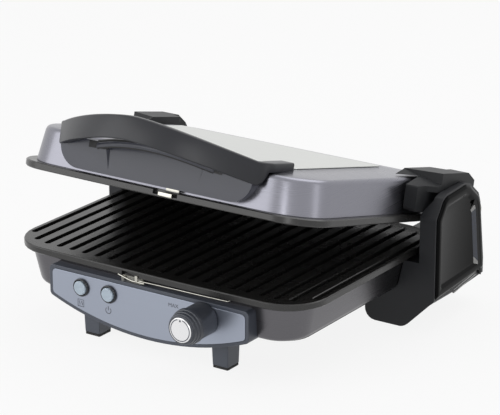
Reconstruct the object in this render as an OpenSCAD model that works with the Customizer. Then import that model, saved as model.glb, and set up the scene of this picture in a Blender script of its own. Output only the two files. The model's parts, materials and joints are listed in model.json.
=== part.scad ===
// Electric contact grill with a hinged lid, drawn with the lid part way open.
// Millimetres, +Z up, front towards -Y, centred on X.

/* [Grill plates] */
// Width of each ribbed plate
plate_w = 297; // [280:1:306]
// Depth of each plate, from the rear edge to the front corners
plate_d = 221; // [200:1:230]
// How far the front edge of a plate bows out in the middle
plate_bow = 3; // [0:0.5:6]
// Corner radius of the plates in plan
plate_corner = 35; // [28:1:40]
// Thickness of a plate at its rim
plate_t = 6; // [5.5:0.25:7.5]
// Chamfer round the rib side of the rim
rim_chamfer = 0.8; // [0.4:0.1:2.5]
// Distance from one groove to the next
rib_pitch = 13.5; // [12:0.1:14]
// Number of grooves
groove_count = 22; // [10:2:22]
// Width of a groove at the rib tops
groove_w = 5.2; // [3:0.1:7]
// Depth of a groove
groove_depth = 3.8; // [2:0.1:4]
// Bare margin between the groove ends and the plate edge
groove_margin = 11; // [6:0.5:20]

/* [Base] */
// Height of the lower plate's rib tops above the table
plate_top_z = 70.5; // [68:0.5:75]
// Height of the underside of the metal tub above the table
tub_bottom_z = 33; // [30:0.5:36]
// Overhang of the plate beyond the top of the metal tub
tub_inset = 9; // [7:0.5:12]
// Inward slope of the tub's side walls over their height
tub_taper = 7; // [2:0.5:10]
// Setback of the tub's front behind the plate's front corners
tub_front = 6.5; // [5:0.5:12]
// Inward slope of the tub's front wall
tub_front_taper = 2.5; // [1:0.5:8]
// Corner radius of the metal tub
tub_corner = 26; // [22:1:36]
// Wall of the metal tub and the lid shell
sheet_t = 1.2; // [1:0.1:2]
// Thickness of the plastic bottom cover
bottom_t = 3; // [2:0.1:3.5]

/* [Control panel] */
// Width of the control panel housing
panel_w = 200; // [190:1:206]
// Height of the housing's top edge above the table
panel_top_z = 60; // [58:0.5:60.5]
// Height of the housing at its two ends
panel_end_h = 26.5; // [20:0.5:28]
// Sag of the curved lower edge in the middle
panel_sag = 19.5; // [10:0.5:22]
// Reach of the panel face in front of the plate corners
panel_reach = 4.5; // [2:0.5:8]
// Depth of the housing, front to back
panel_d = 25; // [23:0.5:30]
// Wall of the plastic housing
panel_wall = 2.2; // [1.6:0.1:3]
// Width of the dark border round the metal fascia
fascia_border = 3; // [2:0.1:5]
// Thickness of the metal fascia
fascia_t = 1.2; // [0.8:0.1:1.5]
// Diameter of a button cap
button_d = 12; // [10:0.1:13]
// Diameter of the ring round a button
button_ring_d = 15.6; // [15:0.1:18]
// Height of the button centres above the table
button_z = 46; // [44:0.5:48]
// Distance of the two buttons from the middle, outer and inner
button_x = [-66.4, -38];
// Travel of a button
button_travel = 1.8; // [1:0.1:2]

/* [Knob] */
// Distance of the knob from the middle
knob_x = 57; // [50:0.5:60]
// Height of the knob centre above the table
knob_z = 46; // [42:0.5:48]
// Diameter of the knob's collar
knob_collar_d = 30; // [29:0.5:32]
// Diameter of the knob at its front face
knob_face_d = 24.5; // [23:0.5:27]
// Diameter of the faceted part behind the collar
knob_rear_d = 28; // [26:0.5:28.5]
// Diameter of the metal end cap
knob_cap_d = 21; // [18:0.5:21.5]
// Length of the knob
knob_len = 31; // [26:0.5:34]
// Diameter of the control spindle
spindle_d = 6; // [5:0.1:7]

/* [Feet] */
// Width of a front foot
foot_w = 16.2; // [14:0.1:20]
// Depth of a front foot
foot_d = 17.4; // [14:0.1:20]
// Distance of a front foot's outer side from the middle
foot_outer_x = 73; // [60:0.5:80]
// Distance of a rear foot's centre from the middle
rear_foot_x = 82; // [60:1:90]
// Thickness of the rubber pads
pad_t = 2; // [1:0.1:3]

/* [Hinge towers] */
// Distance of a tower's inner face from the middle
tower_in_x = 154; // [153:0.1:156]
// Thickness of the tower column
tower_t = 15; // [14:0.5:17]
// Distance of the tower front behind the plate's front corners
tower_front = 168; // [160:1:175]
// Depth of the tower from front to rear
tower_d = 95; // [90:1:100]
// Height of the tower
tower_h = 117.5; // [116:0.5:122]
// Height of the wide foot part under the plate rim
tower_shoulder_z = 60; // [56:0.5:61]
// Size of the slope at the tower's lower outer edge
tower_slope = 28.5; // [24:0.5:32]
// Height of the tower's underside behind the leg
tower_under_z = 25; // [20:0.5:28]
// How far the leg's outer side turns in over its depth
leg_turn = 23.4; // [10:0.1:28]
// Angle by which a tower's outer face turns in towards the rear
tower_taper = 3.9; // [0:0.1:5]
// Thickness of the glossy side cover
cover_t = 2; // [1.5:0.1:3]

/* [Lid] */
// Angle of the lid above closed, as drawn
lid_open = 14.1; // [5:0.1:25]
// Gap between the two plates' rib tops when closed
plate_gap = 4.3; // [2:0.1:6]
// Height of the lid shell from the plate rim to its top edge
lid_h = 29.3; // [25:0.1:32]
// Inward slope of the lid wall over its height
lid_taper = 3.5; // [1:0.5:6]
// Setback of the lid's front wall behind the plate's front corners
lid_front_low = 5.5; // [3:0.5:8]
// How far the lid's front wall bows out in the middle
lid_bow = 4; // [0:0.5:6]
// Corner radius of the lid
lid_corner = 36; // [28:1:40]
// Rise of the lid's top border from its edge to the flat panel
lid_crown = 2.5; // [1:0.1:4]
// Width of that border
lid_border = 35; // [25:1:40]
// Thickness of the brushed top panel
top_panel_t = 1; // [0.6:0.1:1.5]

/* [Lid hinge] */
// Distance of the hinge axis behind the plate's front corners
hinge_back = 251; // [248:0.5:252]
// Height of the hinge axis above the table
hinge_z = 84; // [82:0.5:86]
// Diameter of the hinge shaft
shaft_d = 8; // [6:0.1:9]
// Thickness of an arm's side plate
arm_t = 11.4; // [10:0.1:11.5]
// Diameter of the levelling pin between lid and arm
pin_d = 8; // [6:0.1:9]
// Distance of the levelling pin behind the plate's front corners
pin_back = 173.6; // [165:0.1:180]
// Height of the levelling pin above the upper plate's rib tops
pin_up = 20; // [16:0.5:22]

/* [Handle] */
// Half width of the handle bar between its ends
bar_half_w = 97.5; // [90:0.5:100]
// Reach of the bar in front of the lid at its middle
bar_reach = 47; // [35:0.5:55]
// Rise of the bar in the middle
bar_rise = 20; // [10:0.5:25]
// Height of the bar's front face
bar_h = 19; // [15:0.5:24]
// Thickness of the bar
bar_t = 7; // [5:0.5:9]
// Half width of the handle's base plate
grip_base_half_w = 95; // [90:0.5:96]

/* [Fits] */
// Gap between pieces that move past each other
clear = 0.4; // [0.3:0.05:0.6]
// Radial clearance of a pin or shaft in its bore
run = 0.05; // [0.02:0.01:0.1]

/* [Hidden] */
$fn = 48;

// Plate, in a frame where the front corners lie at y = 0 and the rear edge at y = plate_d
half_w = plate_w / 2;
rim_bottom_z = plate_top_z - plate_t;

// Metal tub under the lower plate
tub_top_z = rim_bottom_z - 1;
tub_half_top = half_w - tub_inset;
tub_half_bottom = tub_half_top - tub_taper;
tub_rear = plate_d + 4;
tub_roll = 5;

// Control panel
panel_y = -panel_reach;
panel_half = panel_w / 2;
panel_end_z = panel_top_z - panel_end_h;
panel_back_y = panel_y + panel_d;
fascia_y = panel_y - 0.3;
cap_proud = 0.8;
ring_proud = 2;
button_proud = 3.2;
switch_y = panel_y + 9.6;
plunger_end_y = switch_y - button_travel - 0.5;
thermostat_y = panel_y + 9;

// Feet
foot_front_y = 5.8;
bottom_z = tub_bottom_z - bottom_t;
rear_foot_y = plate_d - 4;

// Towers
tower_y = tower_front;
tower_out_x = tower_in_x + tower_t;
tower_rear_y = tower_y + tower_d;
tower_leg_in_x = 102;
leg_d = 30;
chamfer_front = 17;

// Lid, drawn closed and then turned about the hinge axis
hinge_y = hinge_back;
lid_rim_z = plate_top_z + plate_gap;
shell_low = plate_t + 0.2;
shell_top = shell_low + lid_h;
lid_half_low = half_w - 6.5;
lid_half_top = lid_half_low - lid_taper;
lid_rear = plate_d - 2;
arm_in_x = tower_in_x - arm_t - 0.3;
arm_front_y = 156;
head_reach = 5.6;
pocket_z = lid_rim_z + 22.4;
pin_y = pin_back;
pin_z = lid_rim_z + pin_up;

// The object is centred between the knob's end and the towers' rear
front_reach = panel_y - 1 - knob_len - cap_proud;
y_shift = -(front_reach + tower_rear_y) / 2;

// Points along an arc, angles in degrees
function arc(cx, cy, r, a0, a1, n) =
    [for (i = [0:n]) [cx + r * cos(a0 + (a1 - a0) * i / n), cy + r * sin(a0 + (a1 - a0) * i / n)]];

// How far the front edge bows out at x, for a plate of half width h
function bow_at(x, h, depth = plate_bow) = -depth * (1 - pow(x / h, 2));

// Closed plan outline with round corners and a bowed front edge, anticlockwise
function tray(h, front, rear, r, bow = plate_bow, steps = 7, span = 10) = concat(
    [for (p = arc(-h + r, front + r, r, 180, 270, steps)) [p[0], p[1] + bow_at(p[0], h, bow)
        * min(1, (front + r - p[1]) / r)]],
    [for (i = [1:span - 1]) let (x = -(h - r) + 2 * (h - r) * i / span) [x, front + bow_at(x, h, bow)]],
    [for (p = arc(h - r, front + r, r, 270, 360, steps)) [p[0], p[1] + bow_at(p[0], h, bow)
        * min(1, (front + r - p[1]) / r)]],
    arc(h - r, rear - r, r, 0, 90, steps),
    arc(-h + r, rear - r, r, 90, 180, steps));

function ring(outline, z) = [for (p = outline) [p[0], p[1], z]];

// Solid through a stack of rings with equal point counts, lowest first
module loft(rings) {
    n = len(rings[0]);
    m = len(rings);
    sides = [for (j = [0:m - 2]) for (i = [0:n - 1])
        let (a = j * n + i, b = j * n + (i + 1) % n, c = b + n, d = a + n)
        each [[a, d, c], [a, c, b]]];
    polyhedron([for (r = rings) each r],
        concat([[for (i = [0:n - 1]) i]], sides, [[for (i = [n - 1:-1:0]) (m - 1) * n + i]]),
        convexity = 8);
}

// Puts children into the row frame
module in_row() translate([0, y_shift, 0]) children();

// Turns the closed lid up to its drawn angle
module lifted() in_row() translate([0, hinge_y, hinge_z]) rotate([-lid_open, 0, 0])
    translate([0, -hinge_y, -hinge_z]) children();

// A cylinder along X between two distances from the middle
module rod_x(r, x0, x1, y, z) translate([x0, y, z]) rotate([0, 90, 0]) cylinder(h = x1 - x0, r = r);

// A cylinder along Y
module rod_y(r, x, y0, y1, z) translate([x, y1, z]) rotate([90, 0, 0]) cylinder(h = y1 - y0, r = r);

// Extrudes an outline drawn in X and Z along Y
module along_y(y0, y1) translate([0, y1, 0]) rotate([90, 0, 0]) linear_extrude(y1 - y0) children();

// Extrudes an outline drawn in Y and Z along X
module along_x(x0, x1) translate([x0, 0, 0]) rotate([90, 0, 90]) linear_extrude(x1 - x0) children();

module block(x0, x1, y0, y1, z0, z1) translate([x0, y0, z0]) cube([x1 - x0, y1 - y0, z1 - z0]);

// Grill plates
groove_end_r = plate_corner - groove_margin + 6;

// Extra setback of a groove's end where the plate corner is round
function corner_cut(x) = let (d = abs(x) - (half_w - groove_end_r - 3))
    d <= 0 ? 0 : groove_end_r - sqrt(max(0, pow(groove_end_r, 2) - d * d));

function groove_x(i) = (i - (groove_count - 1) / 2) * rib_pitch;

// Groove cutter with sloped walls, cut corners and a small lead-in at the rib tops
module groove(x, y0, y1, top) {
    cut = groove_w * 0.3;
    function stage(w, e, z) = [for (p = [[-w, e + cut], [-w + cut, e], [w - cut, e], [w, e + cut]])
            [x + p[0], y0 + p[1], z]];
    function far(w, e, z) = [for (p = [[w, e + cut], [w - cut, e], [-w + cut, e], [-w, e + cut]])
            [x + p[0], y1 - p[1], z]];
    function level(w, e, z) = concat(stage(w, e, z), far(w, e, z));
    w = groove_w / 2;
    loft([level(w - 0.9, 1.6, top - groove_depth), level(w - 0.35, 0.4, top - 0.5),
        level(w + 0.3, -0.2, top + 0.01)]);
}

// A plate lying with its ribs up and its rim's lower side at z = 0
module ribbed_plate(latch_x, latch_half) {
    top = plate_t;
    difference() {
        loft([ring(tray(half_w - 0.8, 0.8, plate_d - 0.8, plate_corner), 0),
            ring(tray(half_w, 0, plate_d, plate_corner), 0.8),
            ring(tray(half_w, 0, plate_d, plate_corner), top - rim_chamfer),
            ring(tray(half_w - rim_chamfer * 0.4, rim_chamfer * 0.4, plate_d - rim_chamfer * 0.4,
                plate_corner), top - rim_chamfer * 0.4),
            ring(tray(half_w - rim_chamfer, rim_chamfer, plate_d - rim_chamfer,
                plate_corner - 1), top)]);
        for (i = [0:groove_count - 1])
            let (x = groove_x(i))
            groove(x, groove_margin + bow_at(x, half_w) + corner_cut(x),
                plate_d - groove_margin + 2 - corner_cut(x), top);
        latch_notch(latch_x, latch_half);
    }
}

// Notch in the front rim where the release latch reaches the plate
module latch_notch(x, half) block(x - half, x + half, -plate_bow - 1, 0.6, -1, latch_notch_h);

module lower_plate() color([0.10, 0.10, 0.10]) in_row() translate([0, 0, rim_bottom_z])
    ribbed_plate(latch_lower_x, latch_half_w + 1);

// Metal tub and bottom

// Plan outline of the tub's outer face at a share f of its height, drawn in by e
function tub_line(f, e = 0) = tray(tub_half_bottom + tub_taper * f - e, tub_front + tub_front_taper * (1 - f) + e,
    tub_rear - tub_taper * (1 - f) * 0.5 - e, tub_corner - e, 0.7 * plate_bow);

module tub_solid(e, low, high) {
    h = tub_top_z - tub_bottom_z;
    loft(concat(
        [for (a = [0, 30, 60]) ring(tub_line(0, e + tub_roll * (1 - sin(a))), low + tub_roll * (1 - cos(a)))],
        [ring(tub_line(tub_roll / h, e), low + tub_roll), ring(tub_line(1, e), high)]));
}

module base_shell() color([0.50, 0.50, 0.53]) in_row() difference() {
    tub_solid(0, tub_bottom_z, tub_top_z);
    tub_solid(sheet_t, tub_bottom_z + sheet_t, tub_top_z + 1);
    // the floor is open above the bottom cover
    translate([0, 0, tub_bottom_z - 1]) linear_extrude(sheet_t + 2)
        polygon(tray(tub_half_bottom - 14, panel_back_y + 4, tub_rear - 18, 16, 0));
    along_y(panel_y - 2, panel_back_y + 0.2) offset(delta = 0.2) panel_outline(0);
    along_y(tub_rear - 12, tub_rear + 2) translate([-rear_half, rear_low]) square([2 * rear_half, rear_high - rear_low]);
}

rear_half = 56;
rear_low = 38;
rear_high = 58;

module rear_cover() color([0.09, 0.09, 0.10]) in_row() difference() {
    union() {
        block(-rear_half - 6, rear_half + 6, tub_rear, tub_rear + 4, rear_low - 3, rear_high + 3);
        block(-rear_half + 0.2, rear_half - 0.2, tub_rear - 8, tub_rear, rear_low + 0.2, rear_high - 0.2);
    }
    block(-rear_half + 3, rear_half - 3, tub_rear - 9, tub_rear + 1.6, rear_low + 3, rear_high - 3);
    for (i = [-5:3]) block(i * 9 - 2, i * 9 + 2, tub_rear - 1, tub_rear + 5, rear_low + 5, rear_high - 5);
    rod_y(gland_r, gland_x, tub_rear - 1, tub_rear + 5, gland_z);
}

gland_x = 42;
gland_z = 48;
gland_r = 5.5;
gland_bore = 3.6;

module cord_gland() color([0.07, 0.07, 0.07]) in_row() difference() {
    union() {
        rod_y(gland_r, gland_x, tub_rear + 1.6, tub_rear + 4, gland_z);
        rod_y(gland_r + 2, gland_x, tub_rear + 4, tub_rear + 7, gland_z);
    }
    rod_y(gland_bore, gland_x, tub_rear, tub_rear + 9, gland_z);
}

module terminal_block() color([0.85, 0.83, 0.78]) in_row() difference() {
    block(14, 34, tub_rear - 33, tub_rear - 21, tub_bottom_z, tub_bottom_z + 11.5);
    for (x = [18, 24, 30]) rod_y(1.6, x, tub_rear - 34, tub_rear - 20, tub_bottom_z + 6);
}

vent_count = 9;

module bottom_cover() color([0.08, 0.08, 0.09]) in_row() difference() {
    translate([0, 0, bottom_z]) linear_extrude(bottom_t)
        polygon(tray(tub_half_bottom - 6, panel_back_y + 0.3, tub_rear - 9, 22, 0));
    for (i = [0:vent_count - 1], y = [70, 120])
        translate([(i - (vent_count - 1) / 2) * 16, y, bottom_z - 1]) linear_extrude(bottom_t + 2)
            union() {
                square([5, 24], center = true);
                translate([0, 12]) circle(2.5);
                translate([0, -12]) circle(2.5);
            }
    for (p = screw_spots) translate([p[0], p[1], bottom_z - 1]) cylinder(h = bottom_t + 2, r = 2);
}

screw_spots = [[-96, 50], [96, 50], [-96, 190], [96, 190], [0, 46], [0, 196]];

module base_screws() color([0.55, 0.55, 0.57]) in_row()
    for (p = screw_spots) translate([p[0], p[1], 0]) difference() {
        union() {
            translate([0, 0, bottom_z - 1.6]) cylinder(h = 1.6, r = 3.6);
            translate([0, 0, bottom_z]) cylinder(h = 7, r = 2);
        }
        translate([0, 0, bottom_z - 1.7]) linear_extrude(1) union() {
            square([4.4, 0.9], center = true);
            square([0.9, 4.4], center = true);
        }
    }

// Heating

element_d = 6.5;
element_half = 96;
element_y0 = 44;
element_pitch = 33;
element_runs = 5;

// Sheathed heating element, a serpentine lying flat with its axis at z = 0
module heating_element() {
    r = element_pitch / 2;
    for (i = [0:element_runs - 1])
        rod_x(element_d / 2, -element_half, element_half, element_y0 + i * element_pitch, 0);
    for (i = [0:element_runs - 2])
        let (s = i % 2 == 0 ? 1 : -1)
        translate([s * element_half, element_y0 + (i + 0.5) * element_pitch, 0])
            rotate([0, 0, s > 0 ? -90 : 90])
            rotate_extrude(angle = 180) translate([r, 0]) circle(element_d / 2, $fn = 24);
    // cold ends turn away from the plate
    for (e = [[-1, 0], [(element_runs % 2 == 0) ? -1 : 1, element_runs - 1]])
        translate([e[0] * element_half, element_y0 + e[1] * element_pitch, 0])
            rotate([0, e[0] * 90, 0]) cylinder(h = 14, r = element_d / 2);
}

module element_clips(drop) {
    for (x = [-60, 60], i = [0:element_runs - 1])
        difference() {
            block(x - 5, x + 5, element_y0 + i * element_pitch - 6, element_y0 + i * element_pitch + 6,
                -drop, -0.5);
            rod_x(element_d / 2, x - 6, x + 6, element_y0 + i * element_pitch, 0);
        }
}

element_z = rim_bottom_z - element_d / 2 - 0.4;
tray_floor_z = tub_bottom_z + 12;

// Reflector tray with a flange that carries the plate
module reflector(depth, lip) difference() {
    union() {
        linear_extrude(depth) polygon(tray(tub_half_bottom - 6, 30, plate_d - 10, 20, 0));
        translate([0, 0, depth]) linear_extrude(1) polygon(tray(tub_half_bottom - 6 + lip, 30 - lip,
            plate_d - 10 + lip, 20, 0));
    }
    translate([0, 0, 1]) linear_extrude(depth + 2) polygon(tray(tub_half_bottom - 7, 31, plate_d - 11, 19, 0));
}

module lower_reflector() color([0.62, 0.62, 0.64]) in_row() translate([0, 0, tray_floor_z])
    reflector(rim_bottom_z - tray_floor_z - 1, 2.5);
module lower_element() color([0.35, 0.34, 0.33]) in_row() translate([0, 0, element_z]) heating_element();
module lower_element_clips() color([0.6, 0.6, 0.62]) in_row() translate([0, 0, element_z])
    element_clips(element_z - tray_floor_z - 1);

// Control panel

// Front outline of the housing in X and Z, drawn in by e
module panel_outline(e) {
    r = (pow(panel_half, 2) + pow(panel_sag, 2)) / (2 * panel_sag);
    low = panel_end_z - panel_sag;
    reach = asin(panel_half / r);
    offset(r = 4) offset(delta = -4 - e)
        polygon(concat([[panel_half, panel_top_z], [-panel_half, panel_top_z]],
            arc(0, low + r, r, -90 - reach, -90 + reach, 24)));
}

module panel_housing() color([0.17, 0.18, 0.20]) in_row() difference() {
    along_y(panel_y, panel_back_y) panel_outline(0);
    along_y(panel_y + panel_wall + 1, panel_back_y + 1) panel_outline(panel_wall);
    along_y(panel_y - 1, panel_y + fascia_t - 0.3) panel_outline(fascia_border);
    for (x = button_x) rod_y(button_d / 2 + clear, x, panel_y - 1, panel_y + 6, button_z);
    rod_y(spindle_d / 2 + 2.2, knob_x, panel_y - 1, panel_y + 6, knob_z);
}

module panel_fascia() color([0.56, 0.58, 0.64]) in_row() difference() {
    along_y(fascia_y, fascia_y + fascia_t) panel_outline(fascia_border + 0.15);
    for (x = button_x) rod_y(button_ring_d / 2 - 0.8, x, fascia_y - 1, fascia_y + 4, button_z);
    rod_y(spindle_d / 2 + 1.2, knob_x, fascia_y - 1, fascia_y + 4, knob_z);
}

// Ring round a button, with a rounded front edge
module button_ring(x) translate([x, fascia_y, button_z]) rotate([90, 0, 0]) rotate_extrude()
    polygon(concat([[button_d / 2 + clear, 0], [button_ring_d / 2, 0]],
        arc(button_ring_d / 2 - 1, ring_proud - 1, 1, 0, 90, 5),
        [[button_d / 2 + clear, ring_proud - 0.3]]));

module button_rings() color([0.13, 0.14, 0.16]) in_row() for (x = button_x) button_ring(x);

// Button cap with a shallow dish, and the stem that reaches its switch
module button(x) in_row() translate([x, fascia_y, button_z]) rotate([90, 0, 0]) rotate_extrude()
    polygon(concat([[0, fascia_y - plunger_end_y], [2.4, fascia_y - plunger_end_y], [2.4, -panel_wall - 0.8],
        [button_d / 2, -panel_wall - 0.8]],
        arc(button_d / 2 - 1, button_proud - 1, 1, 0, 90, 5),
        [[0, button_proud - 0.35]]));

module heat_button() color([0.66, 0.76, 0.82]) button(button_x[0]);
module power_button() color([0.66, 0.76, 0.82]) button(button_x[1]);

board_t = 1.6;

module push_switches() color([0.12, 0.12, 0.13]) in_row() for (x = button_x)
    block(x - 6, x + 6, switch_y, switch_y + 6, button_z - 6, button_z + 6);

module control_board() color([0.16, 0.33, 0.20]) in_row() difference() {
    block(-86, -16, switch_y + 6, switch_y + 6 + board_t, 37, 55);
    for (x = [-82, -20]) rod_y(1.6, x, switch_y, switch_y + 10, 46);
}

module thermostat() color([0.75, 0.74, 0.70]) in_row() difference() {
    union() {
        block(knob_x - 13, knob_x + 13, thermostat_y, thermostat_y + 12, knob_z - 11, knob_z + 11);
        rod_y(spindle_d / 2 + 2, knob_x, panel_y + panel_wall + 1.1, thermostat_y, knob_z);
    }
    rod_y(spindle_d / 2 + run, knob_x, panel_y, thermostat_y + 9, knob_z);
}

// Knob, a stepped turned body; z runs forwards from its rear face
knob_y = panel_y - 1;
collar_z = knob_len - 11;
knob_bands = 3;

module knob() color([0.15, 0.16, 0.18]) in_row() translate([knob_x, knob_y, knob_z]) rotate([90, 0, 0])
    difference() {
        union() {
            cylinder(h = collar_z, r = knob_rear_d / 2, $fn = 14);
            rotate_extrude($fn = 72) polygon(concat(
                [[0, collar_z - 2], [knob_rear_d / 2 - 0.4, collar_z - 2], [knob_collar_d / 2, collar_z - 0.6]],
                [for (k = [0:knob_bands - 1]) let (r = knob_collar_d / 2 - (knob_collar_d - knob_face_d) / 2 * k / knob_bands,
                    z = collar_z + 0.8 + 3.1 * k) each [[r, z], [r - 0.3, z + 2.3], [r - 1.2, z + 2.7]]],
                arc(knob_face_d / 2 - 1, knob_len - 1, 1, 0, 90, 4),
                [[knob_cap_d / 2, knob_len], [knob_cap_d / 2, knob_len - 2], [0, knob_len - 2]]));
        }
        translate([0, 0, -1]) cylinder(h = knob_len, r = spindle_d / 2);
    }

module knob_cap() color([0.86, 0.87, 0.88]) in_row() translate([knob_x, knob_y, knob_z]) rotate([90, 0, 0])
    difference() {
        translate([0, 0, knob_len - 2]) rotate_extrude($fn = 64) polygon(concat([[0, 0], [knob_cap_d / 2, 0]],
            arc(knob_cap_d / 2 - 0.7, 1.3 + cap_proud, 0.7, 0, 90, 4), [[0, 2 + cap_proud]]));
        // pointer dot
        translate([0, knob_cap_d / 2 - 2.6, knob_len + 0.2]) cylinder(h = 2, r = 0.8, $fn = 24);
    }

module knob_spindle() color([0.7, 0.7, 0.72]) in_row()
    rod_y(spindle_d / 2, knob_x, knob_y - knob_len + 2, thermostat_y + 8, knob_z);

// Feet

// A tapered front foot, cut to sit against the underside of the panel housing
module front_foot(side) in_row() difference() {
    x0 = side > 0 ? foot_outer_x - foot_w : -foot_outer_x;
    loft([for (s = [[0.6, pad_t], [0, 22], [0, bottom_z + bottom_t]]) ring([[x0 + s[0], foot_front_y + s[0]],
        [x0 + foot_w - s[0], foot_front_y + s[0]], [x0 + foot_w - s[0], foot_front_y + foot_d - s[0]],
        [x0 + s[0], foot_front_y + foot_d - s[0]]], s[1])]);
    along_y(panel_y - 1, panel_back_y + 8) panel_outline(0);
}

module front_foot_left() color([0.20, 0.21, 0.23]) front_foot(-1);
module front_foot_right() color([0.20, 0.21, 0.23]) front_foot(1);

module rear_feet() color([0.09, 0.09, 0.10]) in_row() for (s = [-1, 1])
    translate([s * rear_foot_x, rear_foot_y, pad_t]) cylinder(h = bottom_z - pad_t, r1 = 8, r2 = 10);

module foot_pads() color([0.05, 0.05, 0.05]) in_row() {
    for (s = [-1, 1]) {
        translate([s * rear_foot_x, rear_foot_y, 0]) cylinder(h = pad_t, r = 7);
        translate([s * (foot_outer_x - foot_w / 2), foot_front_y + foot_d / 2, 0])
            linear_extrude(pad_t) offset(r = 1) square([foot_w - 3.4, foot_d - 3.4], center = true);
    }
}

// Hinge towers

// Side outline of the body in Y and Z, drawn in by e
module tower_side(e) offset(r = 3) offset(delta = -3 - e) polygon([
    [tower_y, tower_under_z - 4], [tower_rear_y, tower_under_z - 4],
    [tower_rear_y, tower_slope + 10], [tower_rear_y - 9, 92], [tower_rear_y - 13, 101],
    [tower_rear_y - 30, 114], [tower_rear_y - 40, tower_h], [tower_y + 20, tower_h],
    [tower_y + 13, tower_h - 2], [tower_y, tower_h - chamfer_front]]);

// Front outline of the body in X and Z, right tower
module tower_front_shape() {
    edge = tower_slope - tower_under_z;
    polygon([[tower_in_x, tower_shoulder_z - 2], [tower_out_x, tower_shoulder_z - 2], [tower_out_x, tower_h],
        [tower_in_x, tower_h]]);
    polygon([[tower_leg_in_x, tower_under_z], [tower_out_x - edge, tower_under_z],
        [tower_out_x, tower_slope], [tower_out_x, tower_shoulder_z], [tower_leg_in_x, tower_shoulder_z]]);
}

leg_round_in = 10;
leg_round_out = 4;

// Inset of a round lower corner of radius r at height z
function round_inset(r, z) = z < r ? r - sqrt(r * r - pow(r - z, 2)) : 0;

// Leg with an outer side that slopes out to the body and turns in towards the rear
module tower_leg() loft([for (z = [0, 0.6, 2, 4, 7, 10, tower_slope]) let (y = tower_y + leg_d,
    x0 = tower_leg_in_x + round_inset(leg_round_in, z),
    x1 = tower_out_x - tower_slope + z - round_inset(leg_round_out, z))
    ring([[x0, tower_y], [x1, tower_y], [x1 - leg_turn, y], [x0, y]], z)]);

module tower_blank() union() {
    tower_leg();
    intersection() {
        along_x(tower_leg_in_x - 2, tower_out_x + 2) tower_side(0);
        along_y(tower_y - 1, tower_rear_y + 1) tower_front_shape();
    }
}

module tower() difference() {
    tower_blank();
    // the tub passes between the towers
    tub_solid(-clear, tub_bottom_z - clear, tub_top_z);
    block(0, tub_half_bottom - 5.6, tower_y - 2, tub_rear + 1.5, bottom_z - 0.4, tub_bottom_z);
    // pocket the arm's head drops into
    translate([0, 0, pocket_z]) linear_extrude(tower_h) polygon([
        [tower_in_x - 1, head_front(tower_in_x - 1) - 1.6], [pocket_out, head_front(pocket_out) - 1.6],
        [pocket_out, tower_rear_y + 2], [tower_in_x - 1, tower_rear_y + 2]]);
    // hollow leg, open under the tub
    block(tower_leg_in_x + 5, tower_leg_in_x + 13, tower_y + 3, tower_y + leg_d - 4, 5, bottom_z);
    // hollow rear part, open below
    block(tower_leg_in_x + 4, tower_out_x - 9, tub_rear + 5, tower_rear_y - 4, tower_under_z - 1,
        tower_shoulder_z - 4);
    // hollow column behind the side cover
    block(tower_in_x + 3, tower_out_x + 1, tower_y + 8, hinge_y - bush_r - 4, tower_slope + 8, pocket_z - 3);
    // outer face turned in towards the rear
    translate([tower_out_x, tower_y, -1]) rotate([0, 0, tower_taper])
        block(0, 40, -10, tower_d + 30, 0, tower_h + 5);
    // seat of the hinge bush
    rod_x(bush_r, tower_in_x - 1, tower_in_x + bush_len, hinge_y, hinge_z);
    // shallow seat of the side cover
    on_side(-0.8) linear_extrude(8) cover_outline(0);
}

bush_r = 7;
bush_len = 8;

// Local frame on the outer face: x to the rear, y up, z outwards
module on_side(z) translate([tower_out_x, tower_y, 0]) rotate([0, 0, 90 + tower_taper]) rotate([90, 0, 0])
    translate([0, 0, z]) children();

// Outline of the side cover, drawn in by e
module cover_outline(e) offset(r = 1.5) offset(delta = -1.5 - e) polygon([
    [cover_edge, tower_slope + 1.5], [tower_d - cover_edge, tower_slope + 1.5], [tower_d - 9 - cover_edge, 92],
    [tower_d - 13 - cover_edge, 100], [tower_d - 31, 112.2], [tower_d - 40, tower_h - cover_edge],
    [20, tower_h - cover_edge], [14, tower_h - 2 - cover_edge], [cover_edge, tower_h - chamfer_front - 1]]);

cover_edge = 2;

// Glossy cover with a bevelled border and a raised bevelled panel
module side_cover() difference() {
    union() {
        on_side(-0.8) linear_extrude(cover_t) cover_outline(0.2);
        on_side(cover_t - 0.8) linear_extrude(0.8) cover_outline(2);
    }
    on_side(cover_t - 0.8) linear_extrude(2) cover_outline(9);
}

module mirror_x() mirror([1, 0, 0]) children();

module right_tower() color([0.11, 0.11, 0.12]) in_row() tower();
module left_tower() color([0.11, 0.11, 0.12]) in_row() mirror_x() tower();
module right_tower_cover() color([0.05, 0.05, 0.06]) in_row() side_cover();
module left_tower_cover() color([0.05, 0.05, 0.06]) in_row() mirror_x() side_cover();

module hinge_bushes() color([0.80, 0.78, 0.70]) in_row() for (s = [0, 1]) mirror([s, 0, 0]) difference() {
    rod_x(bush_r, tower_in_x, tower_in_x + bush_len, hinge_y, hinge_z);
    rod_x(shaft_d / 2 + run, tower_in_x - 1, tower_in_x + bush_len + 1, hinge_y, hinge_z);
}

// Arms and hinge shaft

shaft_half = tower_in_x + bush_len - 0.6;

module hinge_shaft() color([0.68, 0.68, 0.70]) lifted()
    rod_x(shaft_d / 2, -shaft_half, shaft_half, hinge_y, hinge_z);

module hinge_sleeve() color([0.08, 0.08, 0.09]) lifted() difference() {
    rod_x(7.5, -arm_in_x, arm_in_x, hinge_y, hinge_z);
    rod_x(shaft_d / 2 + 0.2, -arm_in_x - 1, arm_in_x + 1, hinge_y, hinge_z);
}

arm_top = lid_rim_z + 42;
arm_low = lid_rim_z + 9.8;
arm_boss_r = 12;

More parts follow.
